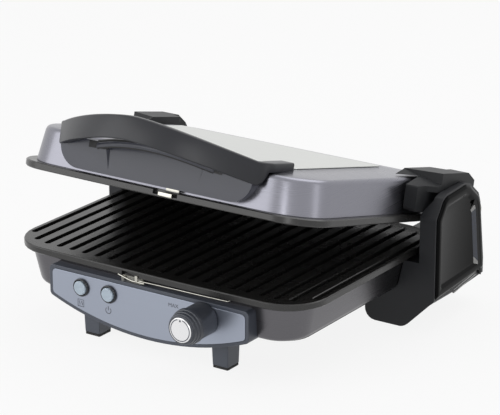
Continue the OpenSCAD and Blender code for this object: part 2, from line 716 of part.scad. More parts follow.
// Side outline of an arm in Y and Z, lid closed
module arm_side() union() {
    offset(r = 3) offset(delta = -3) polygon([
        [arm_front_y, arm_low], [arm_front_y, arm_top - 11], [arm_front_y + 17, arm_top],
        [hinge_y - 21, arm_top], [hinge_y - 8, arm_top - 7], [hinge_y + arm_boss_r - 1, hinge_z + 6],
        [hinge_y + 4, hinge_z - 9], [hinge_y - 10, arm_low - 4]]);
    translate([hinge_y, hinge_z]) circle(arm_boss_r);
}

// Flange that reaches over the lid's top border, and head that reaches over the tower
flange_in_x = 129.5;
head_rise = 11;
cut_in = 125;
cut_out = 165;
pocket_out = tower_in_x + head_reach + 0.6;

// Front of the head in plan at its lower edge and at its top edge
function head_front(x) = arm_front_y + (x - arm_in_x) * 1.387;
function head_top_front(x) = arm_front_y + 16 + (x - flange_in_x) * 0.44;

flange_low = lid_rim_z + shell_top + lid_crown * 0.35 + 0.9;
head_low = lid_rim_z + 26.2;

module arm() difference() {
    union() {
        along_x(arm_in_x, arm_in_x + arm_t) arm_side();
        intersection() {
            along_x(arm_in_x + arm_t - 1, tower_in_x + head_reach) arm_side();
            block(0, 200, 0, hinge_y - 9, head_low, arm_top);
        }
        translate([0, 0, flange_low]) linear_extrude(arm_top - flange_low) offset(r = 3) offset(delta = -3)
            polygon([[flange_in_x, arm_front_y - 6], [arm_in_x + 4, arm_front_y - 6],
                [arm_in_x + 4, hinge_y - 28], [flange_in_x, hinge_y - 35]]);
    }
    rod_x(shaft_d / 2, arm_in_x - 1, arm_in_x + arm_t + 1, hinge_y, hinge_z);
    rod_x(pin_d / 2 + run, arm_in_x - 1, arm_in_x + arm_t - 2.5, pin_y, pin_z);
    // front of the head slants back towards the tower and leans back to its top edge
    loft([for (e = [[arm_top - head_rise, head_front(cut_in), head_front(cut_out)],
        [arm_top + 1, head_top_front(cut_in), head_top_front(cut_out)]])
        ring([[cut_in, arm_front_y - 50], [cut_out, arm_front_y - 50], [cut_out, e[2]], [cut_in, e[1]]], e[0])]);
    translate([0, 0, head_low - 0.3]) linear_extrude(arm_top - head_rise - head_low + 0.31)
        polygon([[arm_in_x + arm_t, arm_front_y - 9], [cut_out, arm_front_y - 9], [cut_out, head_front(cut_out)],
            [arm_in_x + arm_t, head_front(arm_in_x + arm_t)]]);
    for (p = arm_screw_spots) rod_x(1.5, arm_in_x - 1, arm_in_x + 6, p[0], p[1]);
}

arm_screw_spots = [[hinge_y - 34, hinge_z + 12], [hinge_y - 22, hinge_z + 2]];

module right_arm() color([0.12, 0.12, 0.12]) lifted() arm();
module left_arm() color([0.12, 0.12, 0.12]) lifted() mirror_x() arm();

module arm_screws() color([0.5, 0.5, 0.52]) lifted() for (s = [0, 1]) mirror([s, 0, 0])
    for (p = arm_screw_spots) {
        rod_x(1.5, arm_in_x, arm_in_x + 6, p[0], p[1]);
        rod_x(2.8, arm_in_x - 1.2, arm_in_x, p[0], p[1]);
    }

// Lid

// Plan outline of the lid shell at a share f of its height, drawn in by e
function lid_line(f, e = 0) = tray(lid_half_low - lid_taper * f - e, lid_front_low + lid_taper * f + e,
    lid_rear - lid_taper * f - e, lid_corner - min(e, lid_corner - 4), lid_bow);

// Outer or, drawn in by t, inner form of the lid shell with its round top edge
module lid_solid(t, low) {
    roll = 4;
    z = lid_rim_z;
    loft(concat([ring(lid_line(0, t), z + low), ring(lid_line(0.85, t), z + shell_top - roll - t)],
        [for (a = [30, 60, 85]) ring(lid_line(0.9, t + roll * (1 - cos(a))),
            z + shell_top - roll - t + roll * sin(a))],
        [ring(lid_line(0.9, t + lid_border), z + shell_top + lid_crown - t)]));
}

module lid_shell() color([0.50, 0.50, 0.53]) lifted() difference() {
    lid_solid(0, shell_low);
    lid_solid(sheet_t, shell_low - 1);
    for (s = [0, 1]) mirror([s, 0, 0]) rod_x(pin_d / 2 + 0.2, lid_half_low - 14, lid_half_low + 2, pin_y, pin_z);
    // slot over the release latch
    block(-32, 28, -plate_bow, lid_front_low + 2.5, lid_rim_z + shell_low - 1, lid_rim_z + shell_low + 1.3);
    for (x = handle_screw_x) rod_y(2.2, x, lid_front_low - 6, lid_front_low + 8, lid_rim_z + 22);
}

module lid_top_panel() color([0.72, 0.72, 0.71]) lifted()
    translate([0, 0, lid_rim_z + shell_top + lid_crown]) linear_extrude(top_panel_t)
    polygon(lid_line(0.9, lid_border + 1));

module upper_plate() color([0.10, 0.10, 0.10]) lifted()
    translate([0, 0, upper_z]) mirror([0, 0, 1]) ribbed_plate(latch_upper_x, latch_half_w + 5.5);

upper_z = lid_rim_z + plate_t;

module upper_reflector() color([0.62, 0.62, 0.64]) lifted() translate([0, 0, upper_z + 14]) mirror([0, 0, 1])
    reflector(13, 2.5);
module upper_element() color([0.35, 0.34, 0.33]) lifted()
    translate([0, 0, upper_z + element_d / 2 + 0.4]) heating_element();
module upper_element_clips() color([0.6, 0.6, 0.62]) lifted()
    translate([0, 0, upper_z + element_d / 2 + 0.4]) mirror([0, 0, 1]) element_clips(14 - element_d / 2 - 1.4);

module thermal_fuse() color([0.86, 0.85, 0.80]) lifted() union() {
    rod_x(3, -14, 14, 110, upper_z + 17);
    block(-8, 8, 106, 114, upper_z + 14, upper_z + 15.6);
}

// Levelling pins: a head inside the lid wall and a stem that turns in the arm
module level_pins() color([0.68, 0.68, 0.70]) lifted() for (s = [0, 1]) mirror([s, 0, 0]) {
    rod_x(pin_d / 2, lid_half_low - 12, arm_in_x + arm_t - 3, pin_y, pin_z);
    rod_x(pin_d / 2 + 4, tub_half_bottom - 6, lid_half_low - 5.5, pin_y, pin_z);
}

// Release latches, a bent metal tongue on a bracket

latch_lower_x = -18.5;
latch_upper_x = 14;
latch_half_w = 6.5;
latch_notch_h = 4.2;
latch_pin_r = 0.6;

// Bent tongue turning on a wire, its wire at y = 0 and z = 0, its lip turned up
module latch_tongue() {
    block(-latch_half_w, latch_half_w, -3.2, -2.2, -0.6, 3.0);
    block(-latch_half_w, latch_half_w, -3.2, 0.6, -0.6, 0.4);
    rod_x(latch_pin_r, -latch_half_w - 4, latch_half_w + 4, 0, 0);
}

// Ears that carry the wire, on a strip fixed to the body; rise is the strip's own height
module latch_ears(rise, back = 2.8) difference() {
    union() {
        block(-latch_half_w - 4, latch_half_w + 4, 1.2, back, -1.2, rise);
        for (x = [-latch_half_w - 4, latch_half_w + 1.5]) block(x, x + 2.5, -1.2, 1.4, -1.2, 1.2);
    }
    rod_x(latch_pin_r + run, -latch_half_w - 5, latch_half_w + 5, 0, 0);
}

latch_y = 1.6;
latch_z = panel_top_z + 1.2;
latch_up_y = -1.4;
latch_up_z = lid_rim_z + 3;

module lower_latch_bracket() color([0.75, 0.74, 0.70]) in_row() translate([latch_lower_x, latch_y, latch_z])
    latch_ears(1.6);
module lower_latch() color([0.83, 0.82, 0.78]) in_row() translate([latch_lower_x, latch_y, latch_z])
    latch_tongue();

module upper_latch_bracket() color([0.86, 0.85, 0.82]) lifted() union() {
    translate([latch_upper_x, latch_up_y, latch_up_z]) mirror([0, 0, 1]) latch_ears(-0.6, 1.9);
    block(latch_upper_x - latch_half_w - 4, latch_upper_x + latch_half_w + 4, latch_up_y + 1.2, 0.2,
        latch_up_z + 1.1, upper_z + 1.2);
    block(latch_upper_x - 1.5, latch_upper_x + latch_half_w + 4, -5, 4, upper_z + 0.1, upper_z + 1.2);
}
module upper_latch() color([0.86, 0.85, 0.82]) lifted() translate([latch_upper_x, latch_up_y, latch_up_z])
    mirror([0, 0, 1]) latch_tongue();

// Handle

grip_low = lid_rim_z + 8.5;
grip_high = lid_rim_z + 34;
grip_t = 5;
grip_front = lid_front_low - 4 - grip_t;
grip_skin = 2.5;
handle_screw_x = [-70, 70];

// Outline of the base plate in X and Z
module grip_outline(e) offset(delta = -e) intersection() {
    offset(r = 20) offset(delta = -20) polygon([[-grip_base_half_w, grip_low], [grip_base_half_w, grip_low],
        [grip_base_half_w, grip_high + 40], [-grip_base_half_w, grip_high + 40]]);
    polygon([[-200, 0], [200, 0], [200, grip_high], [-200, grip_high]]);
}

module handle_base() color([0.25, 0.26, 0.29]) lifted() difference() {
    along_y(grip_front, lid_front_low + 4) grip_outline(0);
    lid_solid(-0.2, shell_low - 1);
    // finger scoop, deeper towards the top
    translate([0, grip_front, 0]) loft([
        [[-44, -2, grip_low + 3], [44, -2, grip_low + 3], [44, -0.2, grip_low + 3], [-44, -0.2, grip_low + 3]],
        [[-52, -2, grip_high + 1], [52, -2, grip_high + 1], [47, 3.4, grip_high + 1], [-47, 3.4, grip_high + 1]]]);
    for (x = handle_screw_x) rod_y(2.2, x, grip_front + grip_skin, lid_front_low + 6, lid_rim_z + 22);
}

module handle_screws() color([0.5, 0.5, 0.52]) lifted() for (x = handle_screw_x) {
    rod_y(2.2, x, grip_front + grip_skin, lid_front_low + 6, lid_rim_z + 22);
    rod_y(4, x, lid_front_low + 6, lid_front_low + 8.5, lid_rim_z + 22);
}

// Height and reach of the bar at s, from -1 at the left end to 1 at the right
bar_front = -2;
bar_end_low = 25.1;
function bar_y(s) = bar_front - bar_reach * (1 - s * s);
function bar_low(s) = lid_rim_z + bar_end_low + bar_rise * (1 - pow(abs(s), 1.6));
function bar_lean(s) = 7 * (1 - pow(abs(s), 1.6));
// Heading of the bar in plan, in degrees from the X axis
function bar_heading(s) = atan(2 * bar_reach * s / bar_half_w);

// Cross-section at x, y: a slab with eased edges, t thick and h high, leaning back by k
function bar_slab(x, y, heading, low, t, h, k) = [for (p = [[0, 1], [1, 0], [t - 1, 0], [t, 1], [t, h - 2],
    [t - 2, h], [1, h], [0, h - 1.2]])
    [x - sin(heading) * p[0], y + cos(heading) * p[0] + k * p[1] / h, low + p[1]]];

bar_steps = 40;
bar_turn_r = 21.3;
turn_steps = 8;
bar_rear_y = 40;
bar_seat = 36;

// Right end of the bar: it turns to the rear, rises over the lid's front edge and lies on its top
function bar_end(u) = let (a = bar_heading(1), heading = a + (90 - a) * u, reach = min(1, u / 0.6),
    low = lid_rim_z + bar_end_low + (bar_seat - bar_end_low) * reach * reach,
    x = bar_half_w + bar_turn_r * (sin(heading) - sin(a)), y = bar_front + bar_turn_r * (cos(a) - cos(heading)))
    bar_slab(x, y, heading, low, bar_t * (1 + u), lid_rim_z + bar_end_low + bar_h - 0.6 * u - low, 0);

// The straight last part of the end, moved back to y
function bar_tail(y) = [for (p = bar_end(1)) [p[0], y, p[2]]];

// Sections from the middle to the right end
bar_half = concat([for (i = [0:bar_steps / 2]) let (s = 2 * i / bar_steps)
    bar_slab(bar_half_w * s, bar_y(s), bar_heading(s), bar_low(s), bar_t, bar_h, bar_lean(s))],
    [for (i = [1:turn_steps]) bar_end(i / turn_steps)], [bar_tail(bar_rear_y)]);

module handle_bar() color([0.16, 0.16, 0.17]) lifted() difference() {
    for (s = [0, 1]) mirror([s, 0, 0]) loft(bar_half);
    along_y(grip_front - 0.2, lid_front_low + 12) grip_outline(-0.2);
    lid_solid(-0.1, shell_low - 1);
}

// Arched guard behind the bar that keeps fingers off the metal
ledge_half = 58;
ledge_low = 29;
ledge_rise = 11;
ledge_h = 8;
ledge_reach = 13;
ledge_steps = 24;

module handle_ledge() color([0.22, 0.23, 0.26]) lifted() difference() {
    loft([for (i = [0:ledge_steps]) let (s = -1 + 2 * i / ledge_steps, x = ledge_half * s, k = 1 - s * s,
        low = lid_rim_z + ledge_low + ledge_rise * k, front = grip_front - 1 - ledge_reach * k)
        [[x, front, low], [x, grip_front + 4, low], [x, grip_front + 4, low + ledge_h], [x, front, low + ledge_h]]]);
    along_y(grip_front - clear / 2, lid_front_low + 12) grip_outline(-clear / 2);
    lid_solid(-clear / 2, shell_low - 1);
}

base_shell();
bottom_cover();
lower_plate();
lower_reflector();
lower_element();
lower_element_clips();
lower_latch();
lower_latch_bracket();
panel_housing();
panel_fascia();
button_rings();
heat_button();
power_button();
control_board();
push_switches();
thermostat();
knob();
knob_cap();
knob_spindle();
front_foot_left();
front_foot_right();
rear_feet();
foot_pads();
left_tower();
right_tower();
left_tower_cover();
right_tower_cover();
hinge_bushes();
rear_cover();
cord_gland();
terminal_block();
base_screws();
hinge_shaft();
hinge_sleeve();
left_arm();
right_arm();
arm_screws();
lid_shell();
lid_top_panel();
upper_plate();
upper_reflector();
upper_element();
upper_element_clips();
upper_latch();
upper_latch_bracket();
level_pins();
handle_base();
handle_ledge();
handle_bar();
handle_screws();
thermal_fuse();
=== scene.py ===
"""Dresses an electric contact grill and sets it on a pale studio floor.

Lengths in the classes are millimetres. Points of the base are given from the plates' front corners (y = 0),
the centre line (x = 0) and the table (z = 0). Points of the lid are given with the lid closed.
"""
import json
import logging
import math
from collections.abc import Callable, Sequence
from dataclasses import dataclass, field
from enum import Enum

import bmesh
import bpy
from mathutils import Matrix, Vector


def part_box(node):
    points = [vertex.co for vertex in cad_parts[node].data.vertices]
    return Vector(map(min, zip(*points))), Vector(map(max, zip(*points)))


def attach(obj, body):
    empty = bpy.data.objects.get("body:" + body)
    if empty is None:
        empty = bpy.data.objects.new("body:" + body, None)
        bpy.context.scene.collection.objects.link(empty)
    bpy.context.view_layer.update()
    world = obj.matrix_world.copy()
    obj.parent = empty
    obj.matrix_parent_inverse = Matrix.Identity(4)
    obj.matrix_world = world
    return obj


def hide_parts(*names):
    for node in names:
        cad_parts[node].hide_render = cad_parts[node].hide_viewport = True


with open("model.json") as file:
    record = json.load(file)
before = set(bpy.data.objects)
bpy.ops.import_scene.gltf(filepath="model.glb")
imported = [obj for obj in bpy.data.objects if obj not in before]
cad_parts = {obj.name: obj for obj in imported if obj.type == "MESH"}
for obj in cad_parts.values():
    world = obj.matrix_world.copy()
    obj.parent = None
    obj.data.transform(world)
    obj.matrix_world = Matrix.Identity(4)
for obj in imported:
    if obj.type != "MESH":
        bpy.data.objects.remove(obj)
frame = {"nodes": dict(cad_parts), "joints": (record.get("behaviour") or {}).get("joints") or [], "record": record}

LOG = logging.getLogger("grill")
MM = 0.001
Point = tuple[float, float, float]
Ring = list[Point]
Colour = tuple[float, float, float]


class Body(Enum):
    """The moving bodies that pieces ride on."""

    BASE = "base"
    ARMS = "arms"
    LID = "lid"
    KNOB = "knob"
    LOWER_LATCH = "lower_latch"
    UPPER_LATCH = "upper_latch"
    HEAT_BUTTON = "heat_button"
    POWER_BUTTON = "power_button"


class Brushing(Enum):
    """Direction in which a sheet is brushed, as the stretch of its noise along x, y and z."""

    ROUND_THE_WALL = (14.0, 14.0, 2600.0)
    ACROSS_THE_TOP = (14.0, 2600.0, 2600.0)


@dataclass(frozen=True)
class Datum:
    """Places of the frame that everything is measured from."""

    plate_depth: float = 221.0
    plate_top: float = 70.5
    plate_half: float = 148.5
    plate_gap: float = 4.3

    def joint(self, name: str) -> dict:
        """Finds a joint of the frame.

        Args:
            name: The joint's name.

        Returns:
            The joint as the record has it.
        """
        return next(j for j in frame["joints"] if j["name"] == name)

    @property
    def front(self) -> float:
        """Row y of the plates' front corners, in millimetres."""
        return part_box("lower_plate")[1].y / MM - self.plate_depth

    @property
    def rim(self) -> float:
        """Height of the upper plate's rib tops with the lid closed."""
        return self.plate_top + self.plate_gap

    def base(self) -> Matrix:
        """Matrix from base millimetres to the row frame."""
        return Matrix.Scale(MM, 4) @ Matrix.Translation((0.0, self.front, 0.0))

    def lid(self) -> Matrix:
        """Matrix from closed-lid millimetres to the row frame."""
        hinge = self.joint("lid_hinge")
        pivot = Vector(hinge["pos_m"])
        turn = Matrix.Rotation(math.radians(hinge["range_deg"][0]), 4, "X")
        return Matrix.Translation(pivot) @ turn @ Matrix.Translation(-pivot) @ self.base()


DATUM = Datum()


# Shader helpers


class NodeSheet:
    """A small hand for placing and joining shader nodes."""

    def __init__(self, tree: bpy.types.NodeTree) -> None:
        """Keeps the tree that the nodes go into."""
        self.tree = tree
        self.column = 0

    def add(self, kind: str, values: dict[str, object] | None = None, **settings: object) -> bpy.types.Node:
        """Adds a node.

        Args:
            kind: Blender's name of the node.
            values: Values for its input sockets, by name.
            **settings: Properties of the node.

        Returns:
            The new node.
        """
        node = self.tree.nodes.new(kind)
        node.location = (self.column * 190 - 900, 0)
        self.column += 1
        for name, value in settings.items():
            setattr(node, name, value)
        for name, value in (values or {}).items():
            node.inputs[name].default_value = value
        return node

    def join(self, source: bpy.types.NodeSocket, target: bpy.types.NodeSocket) -> None:
        """Joins an output socket to an input socket."""
        self.tree.links.new(source, target)

    def maths(self, operation: str, first: object, second: object = 0.0) -> bpy.types.NodeSocket:
        """Adds a Math node.

        Args:
            operation: The node's operation.
            first: A socket or a number.
            second: A socket or a number.

        Returns:
            The node's output socket.
        """
        node = self.add("ShaderNodeMath", operation=operation)
        for place, value in enumerate((first, second)):
            if isinstance(value, bpy.types.NodeSocket):
                self.join(value, node.inputs[place])
            else:
                node.inputs[place].default_value = value
        return node.outputs[0]

    def blend(self, share: object, first: object, second: object) -> bpy.types.NodeSocket:
        """Mixes two colours.

        Args:
            share: A socket or number, 0 for the first colour and 1 for the second.
            first: A socket or colour.
            second: A socket or colour.

        Returns:
            The mixed colour's socket.
        """
        node = self.add("ShaderNodeMix", data_type="RGBA")
        for place, value in ((0, share), (6, first), (7, second)):
            if isinstance(value, bpy.types.NodeSocket):
                self.join(value, node.inputs[place])
            elif isinstance(value, tuple):
                node.inputs[place].default_value = (*value, 1.0)
            else:
                node.inputs[place].default_value = value
        return node.outputs[2]


class ShaderGroups:
    """Node groups shared by the finishes, each built once."""

    def __init__(self) -> None:
        """Starts with no group built."""
        self.built: dict[str, bpy.types.NodeTree] = {}

    def _start(self, name: str, inputs: dict[str, object], outputs: dict[str, str]) -> tuple:
        """Makes an empty group with its sockets.

        Args:
            name: The group's name.
            inputs: Socket names with their default values.
            outputs: Socket names with their kinds.

        Returns:
            The group, its sheet, its input node and its output node.
        """
        tree = bpy.data.node_groups.new(name, "ShaderNodeTree")
        for label, value in inputs.items():
            kind = "NodeSocketFloat" if isinstance(value, float) else (
                "NodeSocketVector" if len(value) == 3 else "NodeSocketColor")
            socket = tree.interface.new_socket(name=label, in_out="INPUT", socket_type=kind)
            socket.default_value = value
        for label, kind in outputs.items():
            tree.interface.new_socket(name=label, in_out="OUTPUT", socket_type=kind)
        sheet = NodeSheet(tree)
        return tree, sheet, sheet.add("NodeGroupInput"), sheet.add("NodeGroupOutput")

    def brushed(self) -> bpy.types.NodeTree:
        """Fine parallel lines of a brushed sheet, with slow changes of tone.

        Returns:
            The group: Colour, Roughness and Normal.
        """
        if "brushed" in self.built:
            return self.built["brushed"]
        tree, sheet, start, end = self._start(
            "Brushed sheet",
            {"Colour": (0.4, 0.4, 0.42, 1.0), "Stretch": (14.0, 14.0, 2600.0), "Contrast": 0.12, "Roughness": 0.3,
             "Depth": 0.15},
            {"Colour": "NodeSocketColor", "Roughness": "NodeSocketFloat", "Normal": "NodeSocketVector"})
        place = sheet.add("ShaderNodeTexCoord")
        stretch = sheet.add("ShaderNodeVectorMath", operation="MULTIPLY")
        sheet.join(place.outputs["Object"], stretch.inputs[0])
        sheet.join(start.outputs["Stretch"], stretch.inputs[1])
        lines = sheet.add("ShaderNodeTexNoise", {"Scale": 1.0, "Detail": 3.0, "Roughness": 0.6})
        sheet.join(stretch.outputs[0], lines.inputs["Vector"])
        clouds = sheet.add("ShaderNodeTexNoise", {"Scale": 9.0, "Detail": 2.0})
        sheet.join(place.outputs["Object"], clouds.inputs["Vector"])
        fine = sheet.maths("SUBTRACT", lines.outputs["Fac"], 0.5)
        slow = sheet.maths("MULTIPLY", sheet.maths("SUBTRACT", clouds.outputs["Fac"], 0.5), 0.5)
        swing = sheet.maths("MULTIPLY", sheet.maths("ADD", fine, slow), start.outputs["Contrast"])
        level = sheet.maths("ADD", swing, 1.0)
        tone = sheet.add("ShaderNodeVectorMath", operation="SCALE")
        sheet.join(start.outputs["Colour"], tone.inputs[0])
        sheet.join(level, tone.inputs["Scale"])
        sheet.join(tone.outputs[0], end.inputs["Colour"])
        rough = sheet.maths("ADD", start.outputs["Roughness"], sheet.maths("MULTIPLY", fine, 0.22))
        sheet.join(rough, end.inputs["Roughness"])
        bump = sheet.add("ShaderNodeBump", {"Distance": 0.00005})
        sheet.join(start.outputs["Depth"], bump.inputs["Strength"])
        sheet.join(lines.outputs["Fac"], bump.inputs["Height"])
        sheet.join(bump.outputs["Normal"], end.inputs["Normal"])
        self.built["brushed"] = tree
        return tree

    def grain(self) -> bpy.types.NodeTree:
        """Fine spark grain of a moulding, with faint handling marks.

        Returns:
            The group: Colour, Roughness and Normal.
        """
        if "grain" in self.built:
            return self.built["grain"]
        tree, sheet, start, end = self._start(
            "Moulded grain",
            {"Colour": (0.05, 0.05, 0.055, 1.0), "Grain size": 0.6, "Depth": 0.12, "Roughness": 0.45, "Marks": 0.08},
            {"Colour": "NodeSocketColor", "Roughness": "NodeSocketFloat", "Normal": "NodeSocketVector"})
        place = sheet.add("ShaderNodeTexCoord")
        fine = sheet.maths("DIVIDE", 1000.0, start.outputs["Grain size"])
        spark = sheet.add("ShaderNodeTexNoise", {"Detail": 2.0, "Roughness": 0.55})
        sheet.join(place.outputs["Object"], spark.inputs["Vector"])
        sheet.join(fine, spark.inputs["Scale"])
        marks = sheet.add("ShaderNodeTexNoise", {"Scale": 34.0, "Detail": 4.0, "Distortion": 0.6})
        sheet.join(place.outputs["Object"], marks.inputs["Vector"])
        worn = sheet.maths("MULTIPLY", sheet.maths("SUBTRACT", marks.outputs["Fac"], 0.5), start.outputs["Marks"])
        level = sheet.maths("ADD", sheet.maths("MULTIPLY", worn, 2.0), 1.0)
        tone = sheet.add("ShaderNodeVectorMath", operation="SCALE")
        sheet.join(start.outputs["Colour"], tone.inputs[0])
        sheet.join(level, tone.inputs["Scale"])
        sheet.join(tone.outputs[0], end.inputs["Colour"])
        sheet.join(sheet.maths("ADD", start.outputs["Roughness"], worn), end.inputs["Roughness"])
        bump = sheet.add("ShaderNodeBump", {"Distance": 0.0001})
        sheet.join(start.outputs["Depth"], bump.inputs["Strength"])
        sheet.join(spark.outputs["Fac"], bump.inputs["Height"])
        sheet.join(bump.outputs["Normal"], end.inputs["Normal"])
        self.built["grain"] = tree
        return tree


GROUPS = ShaderGroups()


def new_material(name: str) -> tuple[bpy.types.Material, NodeSheet, bpy.types.Node]:
    """Starts a material with one Principled shader.

    Args:
        name: The material's name.

    Returns:
        The material, its sheet and its shader node.
    """
    material = bpy.data.materials.new(name)
    material.use_nodes = True
    sheet = NodeSheet(material.node_tree)
    return material, sheet, material.node_tree.nodes["Principled BSDF"]


@dataclass(frozen=True)
class BrushedSheet:
    """Brushed metal sheet."""

    name: str
    colour: Colour
    brushing: Brushing = Brushing.ROUND_THE_WALL
    roughness: float = 0.3
    contrast: float = 0.16
    depth: float = 0.12
    metallic: float = 1.0

    def build(self) -> bpy.types.Material:
        """Builds the material."""
        material, sheet, shader = new_material(self.name)
        group = sheet.add("ShaderNodeGroup", node_tree=GROUPS.brushed())
        group.inputs["Colour"].default_value = (*self.colour, 1.0)
        group.inputs["Stretch"].default_value = self.brushing.value
        group.inputs["Contrast"].default_value = self.contrast
        group.inputs["Roughness"].default_value = self.roughness
        group.inputs["Depth"].default_value = self.depth
        shader.inputs["Metallic"].default_value = self.metallic
        sheet.join(group.outputs["Colour"], shader.inputs["Base Color"])
        sheet.join(group.outputs["Roughness"], shader.inputs["Roughness"])
        sheet.join(group.outputs["Normal"], shader.inputs["Normal"])
        return material


@dataclass(frozen=True)
class Moulding:
    """Moulded plastic, rubber, ceramic or coated metal."""

    name: str
    colour: Colour
    roughness: float = 0.45
    grain: float = 0.6
    depth: float = 0.12
    marks: float = 0.08
    coat: float = 0.0
    metallic: float = 0.0
    specular: float = 0.5

    def build(self) -> bpy.types.Material:
        """Builds the material."""
        material, sheet, shader = new_material(self.name)
        group = sheet.add("ShaderNodeGroup", node_tree=GROUPS.grain())
        group.inputs["Colour"].default_value = (*self.colour, 1.0)
        group.inputs["Grain size"].default_value = self.grain
        group.inputs["Depth"].default_value = self.depth
        group.inputs["Roughness"].default_value = self.roughness
        group.inputs["Marks"].default_value = self.marks
        shader.inputs["Metallic"].default_value = self.metallic
        shader.inputs["Specular IOR Level"].default_value = self.specular
        shader.inputs["Coat Weight"].default_value = self.coat
        shader.inputs["Coat Roughness"].default_value = 0.06
        sheet.join(group.outputs["Colour"], shader.inputs["Base Color"])
        sheet.join(group.outputs["Roughness"], shader.inputs["Roughness"])
        sheet.join(group.outputs["Normal"], shader.inputs["Normal"])
        return material


class Finishes:
    """All finishes of the grill, built once each."""

    def __init__(self) -> None:
        """Builds the materials."""
        self.tub = BrushedSheet("Dark silver tub", (0.130, 0.127, 0.136), contrast=0.1, depth=0.06).build()
        self.lid = BrushedSheet("Dark silver lid", (0.235, 0.235, 0.268), contrast=0.08, depth=0.04).build()
        self.top = BrushedSheet("Pale brushed top", (0.61, 0.62, 0.60), Brushing.ACROSS_THE_TOP, 0.32,
                                0.06, 0.05).build()
        self.fascia = BrushedSheet("Satin panel sheet", (0.335, 0.365, 0.435), Brushing.ACROSS_THE_TOP,
                                   0.36, 0.06, 0.06).build()
        self.coating = Moulding("Non-stick coating", (0.015, 0.0145, 0.014), 0.27, 0.35, 0.12, 0.12,
                                 specular=0.6).build()
        self.reflector = BrushedSheet("Bright tray sheet", (0.6, 0.6, 0.62)).build()
        self.sheath = Moulding("Element sheath", (0.12, 0.115, 0.11), 0.5, 0.4, 0.2, 0.2, metallic=0.8).build()
        self.spring = BrushedSheet("Bright spring steel", (0.52, 0.51, 0.46), roughness=0.26, contrast=0.08).build()
        self.arm = Moulding("Arm plastic", (0.022, 0.023, 0.025), 0.48, 0.7, 0.2, specular=0.2).build()
        self.tower = Moulding("Tower plastic", (0.020, 0.021, 0.024), 0.42, 0.7, 0.15, specular=0.26).build()
        self.cover = Moulding("Polished cover", (0.003, 0.0032, 0.0034), 0.14, 0.5, 0.02, 0.05,
                              specular=0.04).build()
        # Painted reflection in the side covers' bevels, drawn as a dark blue strip.
        self.painted_reflection = Moulding("Painted blue-black reflection", (0.012, 0.020, 0.042), 0.14, 0.5, 0.02, 0.05).build()
        # Painted glints and highlights: the pale ends of that strip and the pale strips under the towers.
        self.pale = Moulding("Painted pale glint", (0.36, 0.36, 0.355), 0.3, 0.5, 0.05, 0.08).build()
        self.housing = Moulding("Grey housing plastic", (0.066, 0.075, 0.098), 0.36, 0.5, 0.1).build()
        self.grip = Moulding("Handle plastic", (0.050, 0.053, 0.070), 0.34, 0.6, 0.12).build()
        self.bar = Moulding("Bar plastic", (0.016, 0.017, 0.022), 0.34, 0.6, 0.15, specular=0.42).build()
        self.knob = Moulding("Knob plastic", (0.055, 0.061, 0.077), 0.36, 0.5, 0.12).build()
        self.knob_cap = BrushedSheet("Bright knob cap", (0.82, 0.82, 0.83), roughness=0.12, contrast=0.04).build()
        self.button = Moulding("Pale button", (0.47, 0.56, 0.65), 0.22, 0.5, 0.03, 0.05, coat=0.3).build()
        self.ring = Moulding("Glossy ring", (0.012, 0.014, 0.02), 0.14, 0.5, 0.02, 0.05).build()
        self.mark = Moulding("Printed mark", (0.11, 0.115, 0.14), 0.5, 0.5, 0.03).build()
        # Painted shade: near-black sheets put in the dark gaps around the finger guard, where only shadow falls.
        self.seam = Moulding("Painted shade", (0.006, 0.006, 0.007), 0.6, 0.5, 0.1).build()
        self.foot = Moulding("Foot plastic", (0.075, 0.085, 0.108), 0.38, 0.6, 0.15).build()
        self.rubber = Moulding("Soft rubber", (0.012, 0.012, 0.012), 0.75, 0.5, 0.3).build()
        self.bottom = Moulding("Bottom plastic", (0.02, 0.02, 0.022), 0.5, 0.8, 0.3).build()
        self.board = Moulding("Board laminate", (0.03, 0.12, 0.05), 0.35, 0.8, 0.1).build()
        self.ceramic = Moulding("Cream ceramic", (0.68, 0.64, 0.54), 0.3, 0.5, 0.1).build()
        self.steel = BrushedSheet("Ground steel", (0.6, 0.6, 0.62), roughness=0.22, contrast=0.06).build()
        self.bush = Moulding("Bearing plastic", (0.6, 0.57, 0.46), 0.4, 0.5, 0.1).build()

    def of_nodes(self) -> dict[str, bpy.types.Material]:
        """The material of each node of the frame."""
        table = {
            self.tub: "base_shell", self.lid: "lid_shell", self.top: "lid_top_panel", self.fascia: "panel_fascia",
            self.coating: "lower_plate upper_plate", self.reflector: "lower_reflector upper_reflector "
            "lower_element_clips upper_element_clips", self.sheath: "lower_element upper_element",
            self.spring: "lower_latch upper_latch lower_latch_bracket upper_latch_bracket",
            self.arm: "left_arm right_arm hinge_sleeve", self.tower: "left_tower right_tower",
            self.cover: "left_tower_cover right_tower_cover", self.housing: "panel_housing",
            self.ring: "button_rings",
            self.grip: "handle_base handle_ledge", self.bar: "handle_bar", self.knob: "knob",
            self.knob_cap: "knob_cap", self.button: "heat_button power_button",
            self.foot: "front_foot_left front_foot_right rear_feet", self.rubber: "foot_pads cord_gland",
            self.bottom: "bottom_cover rear_cover push_switches", self.board: "control_board",
            self.ceramic: "thermostat terminal_block thermal_fuse", self.bush: "hinge_bushes",
            self.steel: "hinge_shaft level_pins knob_spindle base_screws arm_screws handle_screws",
        }
        return {node: material for material, nodes in table.items() for node in nodes.split()}

    def dress_nodes(self) -> None:
        """Gives every node of the frame its material."""
        materials = self.of_nodes()
        for name, node in frame["nodes"].items():
            node.data.materials.clear()
            node.data.materials.append(materials[name])
        LOG.info("dressed %d nodes of the frame", len(frame["nodes"]))


# Mesh helpers


